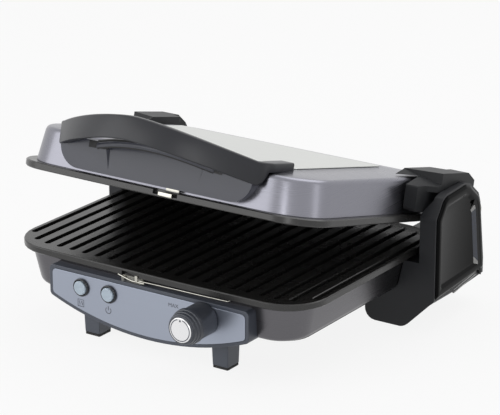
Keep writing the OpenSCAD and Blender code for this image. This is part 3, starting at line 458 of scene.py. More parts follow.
def arc(cx: float, cy: float, radius: float, start: float, stop: float, steps: int) -> list[tuple[float, float]]:
    """Points along an arc.

    Args:
        cx: The centre's first coordinate.
        cy: The centre's second coordinate.
        radius: The arc's radius.
        start: First angle in degrees.
        stop: Last angle in degrees.
        steps: Number of equal steps.

    Returns:
        The points, both ends included.
    """
    angles = [math.radians(start + (stop - start) * i / steps) for i in range(steps + 1)]
    return [(cx + radius * math.cos(a), cy + radius * math.sin(a)) for a in angles]


@dataclass
class Tray:
    """Plan outline with round corners and a front edge that bows out."""

    half: float
    front: float
    rear: float
    corner: float
    bow: float
    steps: int = 10
    span: int = 24

    def points(self, inset: float = 0.0) -> list[tuple[float, float]]:
        """The outline, anticlockwise seen from above.

        Args:
            inset: Distance by which the outline is drawn in.

        Returns:
            The outline's points.
        """
        half, front, rear = self.half - inset, self.front + inset, self.rear - inset
        corner = max(2.0, self.corner - inset)
        x0 = half - corner

        def bowed(x: float, y: float) -> tuple[float, float]:
            share = min(1.0, max(0.0, (front + corner - y) / corner))
            return x, y - self.bow * (1 - (x / half) ** 2) * share

        left = [bowed(*p) for p in arc(-x0, front + corner, corner, 180, 270, self.steps)]
        middle = [bowed(-x0 + 2 * x0 * i / self.span, front) for i in range(1, self.span)]
        right = [bowed(*p) for p in arc(x0, front + corner, corner, 270, 360, self.steps)]
        back = arc(x0, rear - corner, corner, 0, 90, self.steps) + arc(-x0, rear - corner, corner, 90, 180, self.steps)
        return left + middle + right + back


class Draft:
    """A mesh being drawn in millimetres, in the base's or the closed lid's frame."""

    def __init__(self) -> None:
        """Starts empty."""
        self.points: list[Point] = []
        self.faces: list[tuple[int, ...]] = []

    def loft(self, rings: Sequence[Ring], capped: tuple[bool, bool] = (True, True), looped: bool = False) -> None:
        """Adds a skin through rings with equal point counts.

        Args:
            rings: The rings in order.
            capped: Whether the first and the last ring are closed.
            looped: Whether the last ring joins the first.
        """
        first, count = len(self.points), len(rings[0])
        for ring in rings:
            self.points.extend(ring)
        pairs = len(rings) if looped else len(rings) - 1
        for j in range(pairs):
            for i in range(count):
                k = (i + 1) % count
                a, b = first + j * count, first + ((j + 1) % len(rings)) * count
                self.faces.append((a + i, a + k, b + k, b + i))
        if not looped and capped[0]:
            self.faces.append(tuple(first + i for i in reversed(range(count))))
        if not looped and capped[1]:
            last = first + (len(rings) - 1) * count
            self.faces.append(tuple(last + i for i in range(count)))

    def tube(self, path: Sequence[Point], radius: float, sides: int = 12) -> None:
        """Adds a round bar along a path.

        Args:
            path: The centre line.
            radius: The bar's radius.
            sides: Number of sides.
        """
        spots = [Vector(p) for p in path]
        rings = []
        side = Vector((0.0, 0.0, 1.0))
        for i, spot in enumerate(spots):
            run = (spots[min(i + 1, len(spots) - 1)] - spots[max(i - 1, 0)]).normalized()
            side = side - run * side.dot(run)
            if side.length < 1e-6:
                side = run.orthogonal()
            side.normalize()
            across = run.cross(side)
            rings.append([tuple(spot + radius * (side * math.cos(a) + across * math.sin(a)))
                          for a in (2 * math.pi * k / sides for k in range(sides))])
        self.loft(rings)

    def slab(self, outline: Sequence[tuple[float, float]], place: Callable[[float, float, float], Point],
             low: float, high: float, ease: float = 0.0) -> None:
        """Adds a flat slab.

        Args:
            outline: The outline, anticlockwise.
            place: Turns outline coordinates and a height into a point.
            low: Height of the lower face.
            high: Height of the upper face.
            ease: Size of the eased upper edge.
        """
        if ease <= 0:
            self.loft([[place(x, y, low) for x, y in outline], [place(x, y, high) for x, y in outline]])
            return
        levels = [(0.0, low), (0.0, high - ease), (ease * 0.3, high - ease * 0.3), (ease, high)]
        self.loft([[place(x, y, h) for x, y in shrink(outline, e)] for e, h in levels])

    def finish(self, name: str, to_row: Matrix, material: bpy.types.Material, body: Body,
               replaced: Sequence[str] = (), slot: str = "", smooth: float = 35.0,
               bevel: float = 0.0) -> bpy.types.Object:
        """Makes the object, lets it ride and gives it its finish.

        Args:
            name: The piece's name.
            to_row: Matrix from the draft's millimetres to the row frame.
            material: The piece's material.
            body: The body that it rides on.
            replaced: Nodes of the frame that it stands for.
            slot: The record's material slot; not used.
            smooth: Edges flatter than this angle in degrees are smooth.
            bevel: Width of the bevel on sharp edges, in millimetres.

        Returns:
            The new object.
        """
        mesh = bpy.data.meshes.new(name)
        mesh.from_pydata([tuple(to_row @ Vector(p)) for p in self.points], [], self.faces)
        draft = bmesh.new()
        draft.from_mesh(mesh)
        bmesh.ops.remove_doubles(draft, verts=draft.verts, dist=1e-6)
        bmesh.ops.recalc_face_normals(draft, faces=draft.faces)
        if bevel > 0:
            sharp = [e for e in draft.edges if len(e.link_faces) == 2
                     and e.calc_face_angle(0.0) > math.radians(smooth)]
            bmesh.ops.bevel(draft, geom=sharp, offset=bevel * MM, segments=2, profile=0.6, affect="EDGES",
                            clamp_overlap=True)
        draft.to_mesh(mesh)
        draft.free()
        mesh.shade_smooth()
        mesh.set_sharp_from_angle(angle=math.radians(smooth))
        mesh.materials.append(material)
        piece = bpy.data.objects.new(name, mesh)
        bpy.context.scene.collection.objects.link(piece)
        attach(piece, body.value)
        if replaced:
            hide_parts(*replaced)
        LOG.info("piece %s rides on %s with %d faces", name, body.value, len(mesh.polygons))
        return piece


def shrink(outline: Sequence[tuple[float, float]], inset: float) -> list[tuple[float, float]]:
    """Draws an anticlockwise outline in.

    Args:
        outline: The outline's points.
        inset: Distance to draw it in by.

    Returns:
        The new points, as many as before.
    """
    if inset == 0:
        return list(outline)
    result = []
    count = len(outline)
    for i in range(count):
        before, here, after = (Vector(outline[(i + k) % count]) for k in (-1, 0, 1))
        first, second = (here - before).normalized(), (after - here).normalized()
        normal_a, normal_b = Vector((-first.y, first.x)), Vector((-second.y, second.x))
        mean = (normal_a + normal_b).normalized()
        reach = inset / max(0.35, mean.dot(normal_a))
        moved = here + mean * reach
        result.append((moved.x, moved.y))
    return result


def softened(outline: Sequence[tuple[float, float]], radius: float, steps: int = 4) -> list[tuple[float, float]]:
    """Rounds the corners of an outline.

    Args:
        outline: The outline's points.
        radius: Distance from a corner at which its curve begins.
        steps: Steps of each curve.

    Returns:
        The new points.
    """
    result = []
    count = len(outline)
    for i in range(count):
        before, here, after = (Vector(outline[(i + k) % count]) for k in (-1, 0, 1))
        reach = min(radius, (before - here).length * 0.45, (after - here).length * 0.45)
        start = here + (before - here).normalized() * reach
        stop = here + (after - here).normalized() * reach
        for k in range(steps + 1):
            t = k / steps
            spot = start * (1 - t) ** 2 + here * 2 * t * (1 - t) + stop * t ** 2
            result.append((spot.x, spot.y))
    return result


def level_ring(outline: Sequence[tuple[float, float]], z: float) -> Ring:
    """Lifts an outline to a height."""
    return [(x, y, z) for x, y in outline]


# Sub-assemblies


@dataclass
class SoftenedNode:
    """A solid of the frame with the small round edges that a moulding or casting has."""

    node: str
    body: Body
    slot: str
    bevel: float = 0.7
    steps: int = 2
    crease: float = 28.0

    def build(self, material: bpy.types.Material) -> bpy.types.Object:
        """Builds the rounded copy over its node.

        Args:
            material: The piece's finish.

        Returns:
            The new object.
        """
        mesh = frame["nodes"][self.node].data.copy()
        mesh.name = f"{self.node}_moulding"
        draft = bmesh.new()
        draft.from_mesh(mesh)
        bmesh.ops.remove_doubles(draft, verts=draft.verts, dist=2e-6)
        bmesh.ops.dissolve_limit(draft, angle_limit=math.radians(0.6), verts=draft.verts, edges=draft.edges)
        sharp = [e for e in draft.edges if len(e.link_faces) == 2
                 and e.calc_face_angle(0.0) > math.radians(self.crease)]
        bmesh.ops.bevel(draft, geom=sharp, offset=self.bevel * MM, segments=self.steps, profile=0.5,
                        affect="EDGES", clamp_overlap=True)
        draft.to_mesh(mesh)
        draft.free()
        mesh.materials.clear()
        mesh.materials.append(material)
        piece = bpy.data.objects.new(f"{self.node}_moulding", mesh)
        bpy.context.scene.collection.objects.link(piece)
        even_shading(piece, 40.0)
        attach(piece, self.body.value)
        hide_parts(self.node)
        LOG.info("rounded %s to %d faces", self.node, len(mesh.polygons))
        return piece


def even_shading(piece: bpy.types.Object, smooth: float) -> None:
    """Shades the round edges smoothly and keeps the flat faces flat.

    Args:
        piece: The object to shade.
        smooth: Edges flatter than this angle in degrees are smooth.
    """
    piece.data.shade_smooth()
    piece.data.set_sharp_from_angle(angle=math.radians(smooth))
    even = piece.modifiers.new("even_shading", "WEIGHTED_NORMAL")
    even.keep_sharp = True
    even.weight = 100


@dataclass
class Mouldings:
    """The solids that only need their edges rounded."""

    bevels: dict[str, float] = field(default_factory=lambda: {
        "left_tower": 0.8, "right_tower": 0.8, "left_arm": 1.2, "right_arm": 1.2, "panel_housing": 0.8,
        "front_foot_left": 0.7, "front_foot_right": 0.7, "lower_plate": 0.45, "upper_plate": 0.45,
        "handle_base": 0.5, "knob": 0.25, "panel_fascia": 0.25, "button_rings": 0.2,
        "lid_top_panel": 0.4, "hinge_sleeve": 0.5, "rear_cover": 0.5,
    })

    def build(self, finishes: "Finishes") -> None:
        """Rounds each solid.

        Args:
            finishes: The grill's finishes.
        """
        materials = finishes.of_nodes()
        slots = {part["node"]: part["material_slot"] for part in frame["record"]["subparts"]}
        members = frame["record"]["behaviour"]["bodies"]
        bodies = {node: Body(name) for name, nodes in members.items() for node in nodes}
        for node, bevel in self.bevels.items():
            SoftenedNode(node, bodies[node], slots[node], bevel).build(materials[node])


@dataclass
class Tub:
    """The base's brushed metal tub."""

    half_bottom: float = 132.5
    taper: float = 7.0
    front: float = 6.5
    front_taper: float = 2.5
    rear: float = 225.0
    corner: float = 26.0
    bow: float = 2.1
    low: float = 33.0
    high: float = 63.5
    roll: float = 5.0
    sheet: float = 1.2

    def outline(self, share: float, inset: float) -> list[tuple[float, float]]:
        """Outline of the wall.

        Args:
            share: Share of the wall's height, 0 at the bottom.
            inset: Distance drawn in.

        Returns:
            The outline's points.
        """
        return Tray(self.half_bottom + self.taper * share, self.front + self.front_taper * (1 - share),
                    self.rear - self.taper * (1 - share) * 0.5, self.corner, self.bow).points(inset)

    def build(self, finishes: Finishes) -> None:
        """Builds the tub over its node.

        Args:
            finishes: The grill's finishes.
        """
        draft = Draft()
        height = self.high - self.low
        rings = [level_ring(self.outline(0.0, self.roll + 10), self.low)]
        for angle in range(0, 91, 15):
            a = math.radians(angle)
            rings.append(level_ring(self.outline(self.roll * (1 - math.cos(a)) / height,
                                                 self.roll * (1 - math.sin(a))),
                                    self.low + self.roll * (1 - math.cos(a))))
        rings += [level_ring(self.outline(1.0, 0.0), self.high),
                  level_ring(self.outline(1.0, self.sheet), self.high),
                  level_ring(self.outline(0.3, self.sheet), self.low + 10),
                  level_ring(self.outline(0.0, self.roll + 10), self.low + self.sheet)]
        draft.loft(rings, capped=(False, False), looped=True)
        draft.finish("tub_skin", DATUM.base(), finishes.tub, Body.BASE, ["base_shell"], "brushed_tub")


@dataclass
class LidShell:
    """The lid's brushed metal shell."""

    half_low: float = 142.0
    taper: float = 3.5
    front: float = 5.5
    rear: float = 219.0
    corner: float = 36.0
    bow: float = 4.0
    low: float = 6.2
    high: float = 35.5
    crown: float = 2.5
    border: float = 35.0
    roll: float = 4.0
    sheet: float = 1.2

    def outline(self, share: float, inset: float) -> list[tuple[float, float]]:
        """Outline of the wall.

        Args:
            share: Share of the wall's height, 0 at the bottom.
            inset: Distance drawn in.

        Returns:
            The outline's points.
        """
        return Tray(self.half_low - self.taper * share, self.front + self.taper * share,
                    self.rear - self.taper * share, self.corner, self.bow).points(inset)

    def build(self, finishes: Finishes) -> None:
        """Builds the shell over its node.

        Args:
            finishes: The grill's finishes.
        """
        base = DATUM.rim
        roll = self.roll
        rings = [level_ring(self.outline(0.0, 0.0), base + self.low),
                 level_ring(self.outline(0.85, 0.0), base + self.high - roll)]
        for angle in (15, 30, 45, 60, 75, 86):
            a = math.radians(angle)
            rings.append(level_ring(self.outline(0.9, roll * (1 - math.cos(a))),
                                    base + self.high - roll + roll * math.sin(a)))
        rings += [level_ring(self.outline(0.9, self.border), base + self.high + self.crown),
                  level_ring(self.outline(0.9, self.border + 4), base + self.high + self.crown - 1.0),
                  level_ring(self.outline(0.9, roll + self.sheet), base + self.high - self.sheet),
                  level_ring(self.outline(0.0, self.sheet), base + self.low)]
        draft = Draft()
        draft.loft(rings, capped=(False, False), looped=True)
        draft.finish("lid_skin", DATUM.lid(), finishes.lid, Body.LID, ["lid_shell"], "brushed_tub")


@dataclass
class HandleBar:
    """The bowed bar that the lid is lifted by; its ends turn back and lie on the lid."""

    half: float = 97.5
    front: float = -2.0
    reach: float = 47.0
    rise: float = 20.0
    low: float = 25.1
    height: float = 19.0
    thickness: float = 7.0
    lean: float = 7.0
    turn_radius: float = 21.3
    rear: float = 40.0
    seat: float = 36.0
    steps: int = 36
    turn_steps: int = 14

    def slab(self, x: float, y: float, heading: float, low: float, thick: float, high: float, lean: float) -> Ring:
        """Cross-section with round edges.

        Args:
            x: Distance of the lower front edge from the middle.
            y: Its distance behind the plate's front corners.
            heading: Direction of the bar in plan, in degrees from the X axis.
            low: Height of the underside.
            thick: Thickness.
            high: Height of the section.
            lean: How far its top leans back.

        Returns:
            The section's points.
        """
        r = min(1.5, high * 0.24)
        corners = (arc(r, r, r, 180, 270, 3) + arc(thick - r, r, r, 270, 360, 3)
                   + arc(thick - r, high - r, r, 0, 90, 3) + arc(r, high - r, r, 90, 180, 3))
        a = math.radians(heading)
        return [(x - math.sin(a) * d, y + math.cos(a) * d + lean * z / high, low + z) for d, z in corners]

    def middle(self, share: float) -> Ring:
        """Section of the bow.

        Args:
            share: 0 in the middle and 1 at the right.

        Returns:
            The section's points.
        """
        arch = 1 - share ** 1.6
        heading = math.degrees(math.atan(2 * self.reach * share / self.half))
        return self.slab(self.half * share, self.front - self.reach * (1 - share ** 2), heading,
                         DATUM.rim + self.low + self.rise * arch, self.thickness, self.height, self.lean * arch)

    def end(self, share: float) -> Ring:
        """Section of the right end, where the bar turns to the rear and rises on to the lid.

        Args:
            share: 0 where the turn begins and 1 where it ends.

        Returns:
            The section's points.
        """
        first = math.atan(2 * self.reach / self.half)
        heading = first + (math.pi / 2 - first) * share
        low = self.low + (self.seat - self.low) * min(1.0, share / 0.6) ** 2
        return self.slab(self.half + self.turn_radius * (math.sin(heading) - math.sin(first)),
                         self.front + self.turn_radius * (math.cos(first) - math.cos(heading)),
                         math.degrees(heading), DATUM.rim + low, self.thickness * (1 + share),
                         self.low + self.height - 0.6 * share - low, 0.0)

    def build(self, finishes: Finishes) -> None:
        """Builds the bar over its node.

        Args:
            finishes: The grill's finishes.
        """
        right = [self.middle(i / self.steps) for i in range(self.steps + 1)]
        right += [self.end(i / self.turn_steps) for i in range(1, self.turn_steps + 1)]
        right.append([(x, self.rear, z) for x, _, z in right[-1]])
        left = [[(-x, y, z) for x, y, z in ring] for ring in reversed(right[1:])]
        draft = Draft()
        draft.loft(left + right)
        draft.finish("handle_bow", DATUM.lid(), finishes.bar, Body.LID, ["handle_bar"], "black_plastic", smooth=50)


@dataclass
class SideCover:
    """Polished cover on a tower's outer side, with a raised border whose edges are bevelled."""

    side: int
    foot_x: float = 169.0
    foot_y: float = 168.0
    lean: float = 0.068
    corners: tuple[tuple[float, float], ...] = (
        (2.0, 30.0), (93.0, 30.0), (84.0, 92.0), (80.0, 100.0), (64.0, 112.2), (55.0, 115.5), (20.0, 115.5),
        (14.0, 113.5), (2.0, 99.5))
    profile: tuple[tuple[float, float], ...] = (
        (0.0, -0.8), (0.0, 0.5), (0.4, 0.9), (2.2, 1.9), (2.8, 2.0), (6.6, 2.0), (7.2, 1.8), (9.2, 0.5),
        (9.8, 0.35))

    def place(self, along: float, height: float, out: float) -> Point:
        """Turns a point of the cover's plane into one of the base.

        Args:
            along: Distance from the front edge.
            height: Height over the table.
            out: Distance out of the plane.

        Returns:
            The point.
        """
        square = math.sqrt(1 - self.lean ** 2)
        x = self.foot_x - self.lean * along + square * out
        return self.side * x, self.foot_y + square * along + self.lean * out, height

    def build(self, name: str, material: bpy.types.Material) -> None:
        """Builds the cover over its node.

        Args:
            name: The node's name.
            material: The cover's finish.
        """
        draft = Draft()
        draft.loft([[self.place(u, v, h) for u, v in softened(shrink(self.corners, inset), 1.6)]
                    for inset, h in self.profile])
        draft.finish(f"{name}_plate", DATUM.base(), material, Body.BASE, [name], "cover_gloss", smooth=25)


@dataclass
class PaintedCoverReflections:
    """Glossy dark blue strip along the rear edge of a side cover, with pale ends, that paints the reflection and
    glints in the cover's bevel, and two pale strips under the tower that paint highlights on its lower edge.
    """

    cover: SideCover
    outer: float = 11.2
    inner: float = 16.6
    outer_rise: float = 1.95
    inner_rise: float = 0.45
    border: float = 6.2
    # Two pale strips under the tower that paint highlights on its lower edge.
    highlight_span: tuple[float, float] = (38.0, 82.0)
    highlight_rise: float = 3.0
    highlight_heights: tuple[tuple[float, float], ...] = ((24.0, 25.2), (26.4, 27.6))

    def strip(self, first: float, last: float, insets: tuple[float, float], rises: tuple[float, float]) -> Draft:
        """Draws a stretch of a strip along the rear edge.

        Args:
            first: Where it begins, in corners of the border counted from the lower rear one.
            last: Where it ends.
            insets: Distances of its two edges from the cover's outline.
            rises: Heights of its two edges.

        Returns:
            The draft.
        """
        edges = [shrink(self.cover.corners, inset)[1:5] for inset in insets]
        stops = [first, *(k for k in (1.0, 2.0) if first < k < last), last]
        rings = []
        for stop in stops:
            k = min(2, int(stop))
            a, b = (Vector(e[k]).lerp(Vector(e[k + 1]), stop - k) for e in edges)
            rings.append([self.cover.place(a.x, a.y, 0.2), self.cover.place(a.x, a.y, rises[0]),
                          self.cover.place(b.x, b.y, rises[1]), self.cover.place(b.x, b.y, 0.2)])
        draft = Draft()
        draft.loft(rings)
        return draft

    def build(self, side: str, finishes: Finishes) -> None:
        """Builds the strip of painted reflection, its pale ends of painted glint and the pale strips of painted
        highlight.

        Args:
            side: Which tower it is on.
            finishes: The grill's finishes.
        """
        # The dark blue strip is a painted reflection of the cover's bevel; its pale ends are painted glints.
        stretches = (("painted_reflection", -0.02, 1.3, finishes.painted_reflection), ("painted_glint_top", 1.3, 2.12, finishes.pale),
                     ("painted_glint_foot", -0.2, -0.02, finishes.pale))
        for name, first, last, material in stretches:
            self.strip(first, last, (self.outer, self.inner), (self.outer_rise, self.inner_rise)).finish(
                f"{side}_{name}", DATUM.base(), material, Body.BASE, slot="cover_gloss")
        self.strip(-0.2, 2.3, (self.border, self.outer), (2.0, self.outer_rise)).finish(
            f"{side}_reflection_bed", DATUM.base(), finishes.cover, Body.BASE, slot="cover_gloss")
        # Pale strips that paint highlights along the tower's lower edge.
        draft = Draft()
        for low, high in self.highlight_heights:
            front, rear = self.highlight_span
            corners = [(front, low), (rear, low + self.highlight_rise), (rear, high + self.highlight_rise), (front, high)]
            draft.loft([[self.cover.place(u, v, h) for u, v in corners] for h in (-1.2, 0.25)])
        draft.finish(f"{side}_painted_highlight_strips", DATUM.base(), finishes.pale, Body.BASE, slot="cover_gloss", bevel=0.15)


@dataclass
class Latches:
    """Bright spring latches that hold the two plates."""

    wire: float = 0.6
    rod: float = 0.4
    front: float = -3.3
    lower_path: tuple[tuple[float, float], ...] = (
        (-29.0, 65.0), (-24.0, 63.8), (-18.6, 62.5), (-15.2, 61.9), (-9.0, 61.8), (-2.8, 61.8))
    tab: tuple[float, float, float, float] = (-12.0, -9.4, 61.7, 67.2)
    wire_end: Point = (-29.0, 0.2, 65.6)
    rod_end: Point = (81.0, 0.5, 64.9)
    rod_setback: float = 0.4
    rod_path: tuple[tuple[float, float], ...] = ((-9.4, 63.0), (28.0, 63.6), (60.0, 63.9), (79.0, 64.2))
    tongue: tuple[tuple[float, float], ...] = (
        (0.6, 1.0), (-4.0, 1.0), (-4.6, 1.6), (-4.6, 4.4), (-4.0, 4.4), (-4.0, 1.9), (-3.7, 1.6), (0.6, 1.6))
    tongue_width: tuple[float, float] = (8.4, 21.7)
    bracket: tuple[tuple[float, float], ...] = (
        (-3.0, 6.4), (1.2, 6.4), (1.2, 7.0), (-2.4, 7.0), (-2.4, 10.0), (-3.0, 10.0))
    bracket_width: tuple[float, float] = (14.4, 27.2)

    def sheet(self, profile: Sequence[tuple[float, float]], width: tuple[float, float], base: float) -> Draft:
        """Draws a bent sheet.

        Args:
            profile: Its section, as distance behind the front and height.
            width: Where it begins and ends from left to right.
            base: Height that the section's heights count from.

        Returns:
            The draft.
        """
        draft = Draft()
        draft.loft([[(x, y, base + z) for y, z in profile] for x in width])
        return draft

    def build(self, finishes: Finishes) -> None:
        """Builds both latches over their nodes.

        Args:
            finishes: The grill's finishes.
        """
        lower = Draft()
        lower.tube([self.wire_end, *((x, self.front, z) for x, z in self.lower_path)], self.wire)
        x0, x1, z0, z1 = self.tab
        tab_faces = (self.front - 0.8, self.front - 0.1)
        lower.loft([[(x0, y, z0), (x1, y, z0), (x1, y, z1), (x0, y, z1)] for y in tab_faces])
        lower.finish("lower_latch_wire", DATUM.base(), finishes.spring, Body.LOWER_LATCH, ["lower_latch"],
                     "spring_steel", bevel=0.12)
        rod = Draft()
        rod.tube([*((x, self.front + self.rod_setback, z) for x, z in self.rod_path), self.rod_end], self.rod)
        rod.finish("latch_rod", DATUM.base(), finishes.spring, Body.BASE, slot="spring_steel")
        self.sheet(self.tongue, self.tongue_width, DATUM.rim).finish(
            "upper_latch_tongue", DATUM.lid(), finishes.spring, Body.UPPER_LATCH, ["upper_latch"], "spring_steel",
            bevel=0.15)
        self.sheet(self.bracket, self.bracket_width, DATUM.rim).finish(
            "upper_latch_keeper", DATUM.lid(), finishes.spring, Body.LID, ["upper_latch_bracket"], "spring_steel",
            bevel=0.15)


@dataclass
class FingerGuard:
    """Thin arched shelf between the fingers and the lid, with a dark slab behind it and a dark plate in the recess at
    each end, which paint shade.
    """

    half: float = 58.0
    face: float = -3.5
    reach: float = 12.5
    low: float = 28.5
    rise: float = 8.0
    height: float = 4.0
    steps: int = 28
    # Outline of the dark plates that paint the shade in the recesses at the guard's ends.
    recess: tuple[tuple[float, float], ...] = ((46.0, 28.9), (66.0, 27.9), (66.0, 33.8), (46.0, 33.8))

    def section(self, share: float, below: float, above: float, back: float) -> Ring:
        """Section of the shelf.

        Args:
            share: -1 at its left end, 0 in the middle and 1 at its right end.
            below: How far its lower edge lies under the shelf's.
            above: How far its upper edge lies over the shelf's.
            back: How far its front lies behind the shelf's.

        Returns:
            The section's points.
        """
        arch = 1 - share ** 2
        x, low = self.half * share, DATUM.rim + self.low + self.rise * arch - below
        high = low + self.height + below + above
        front = min(self.face + 0.2, self.face - 0.6 - self.reach * arch ** 0.8 + back)
        return [(x, self.face + 0.8, low + 1.6), (x, front + 0.4, low), (x, front, low + 0.5),
                (x, front, high - 0.5), (x, front + 0.4, high), (x, self.face + 0.8, high + 0.8)]

    def build(self, finishes: Finishes) -> None:
        """Builds the shelf over its node.

        Args:
            finishes: The grill's finishes.
        """
        draft = Draft()
        shares = [2 * i / self.steps - 1 for i in range(self.steps + 1)]
        draft.loft([self.section(share, 0.0, 0.0, 0.0) for share in shares])
        draft.finish("finger_guard", DATUM.lid(), finishes.grip, Body.LID, ["handle_ledge"], "grey_plastic",
                     smooth=45)
        # A dark slab behind the shelf, a little larger than it, paints the shade above and below the guard.
        draft = Draft()
        draft.loft([self.section(share, 1.3, 1.6, 1.0) for share in shares])
        draft.finish("finger_guard_painted_shade", DATUM.lid(), finishes.seam, Body.LID, slot="grey_plastic", smooth=45)
        # Dark plates in the end recesses paint the shade there.
        draft = Draft()
        for side in (-1, 1):
            faces = (self.face - 0.25, self.face + 0.5)
            draft.loft([[(side * x, y, DATUM.rim + z) for x, z in self.recess] for y in faces])
        draft.finish("finger_recess_painted_shade", DATUM.lid(), finishes.seam, Body.LID, slot="grey_plastic")


class PanelMarks:
    """Generic printed marks on the control panel and the dial."""

    word: tuple[float, float] = (27.0, 50.0)
    word_size: float = 4.7
    heat_sign: tuple[float, float] = (-67.5, 32.0)
    power_sign: tuple[float, float] = (-39.0, 31.5)
    sign_half: float = 3.0
    dial: tuple[float, float] = (57.0, 46.0)

    def __init__(self, finishes: Finishes) -> None:
        """Keeps the finishes."""
        self.finishes = finishes
        self.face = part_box("panel_fascia")[0].y / MM

    def text(self, name: str, words: str, x: float, z: float, size: float) -> None:
        """Prints a word on the panel.

        Args:
            name: The piece's name.
            words: The generic word.
            x: Middle of the word.
            z: Its height.
            size: The letters' size.
        """
        curve = bpy.data.curves.new(name, "FONT")
        curve.body = words
        curve.size = size * MM
        curve.extrude = 0.00004
        curve.align_x = "CENTER"
        curve.align_y = "CENTER"
        curve.materials.append(self.finishes.mark)
        piece = bpy.data.objects.new(name, curve)
        piece.location = (x * MM, (self.face - 0.05) * MM, z * MM)
        piece.rotation_euler = (math.radians(90), 0, 0)
        bpy.context.scene.collection.objects.link(piece)
        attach(piece, Body.BASE.value)
        LOG.info("printed mark %s", name)

    def strokes(self, name: str, lines: Sequence[Sequence[tuple[float, float]]], width: float, face: float,
                body: Body) -> None:
        """Prints thin lines that lie on a face looking to the front.

        Args:
            name: The piece's name.
            lines: Each line's points, as x and z.
            width: The lines' width.
            face: The face's distance behind the plates' front corners.
            body: The body that carries the lines.
        """
        draft = Draft()
        for line in lines:
            sides = []
            for i, point in enumerate(line):
                before, after = Vector(line[max(i - 1, 0)]), Vector(line[min(i + 1, len(line) - 1)])
                run = (after - before).normalized()
                across = Vector((-run.y, run.x)) * width / 2
                sides.append((Vector(point) + across, Vector(point) - across))
            draft.loft([[(a.x, face + 0.03, a.y), (a.x, face - 0.06, a.y), (b.x, face - 0.06, b.y),
                         (b.x, face + 0.03, b.y)] for a, b in sides])
        draft.finish(name, DATUM.base(), self.finishes.mark, body, smooth=30)

    def build(self) -> None:
        """Prints the marks."""
        self.text("dial_word", "MAX", self.word[0], self.word[1], self.word_size)
        face = self.face - DATUM.front
        x, z = self.heat_sign
        half = self.sign_half
        square = [(x - half, z - half), (x + half, z - half), (x + half, z + half), (x - half, z + half),
                  (x - half, z - half)]
        waves = [[(x + shift + 0.5 * math.sin(t * math.pi / 3), z - half * 0.6 + half * 0.2 * t) for t in range(7)]
                 for shift in (-1.3, 1.3)]
        self.strokes("heat_sign", [square, *waves], 0.7, face, Body.BASE)
        x, z = self.power_sign
        self.strokes("power_sign", [arc(x, z, half * 0.9, -230, 50, 18), [(x, z), (x, z + half * 1.2)]], 0.7, face,
                     Body.BASE)
        x, z = self.dial
        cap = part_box("knob_cap")[0].y / MM - DATUM.front
        self.strokes("dial_ring", [arc(x, z, 9.0, 105, 435, 40)], 0.8, cap, Body.KNOB)
        self.strokes("dial_dot", [[(x, z + 7.1), (x, z + 8.7)]], 1.6, cap, Body.KNOB)


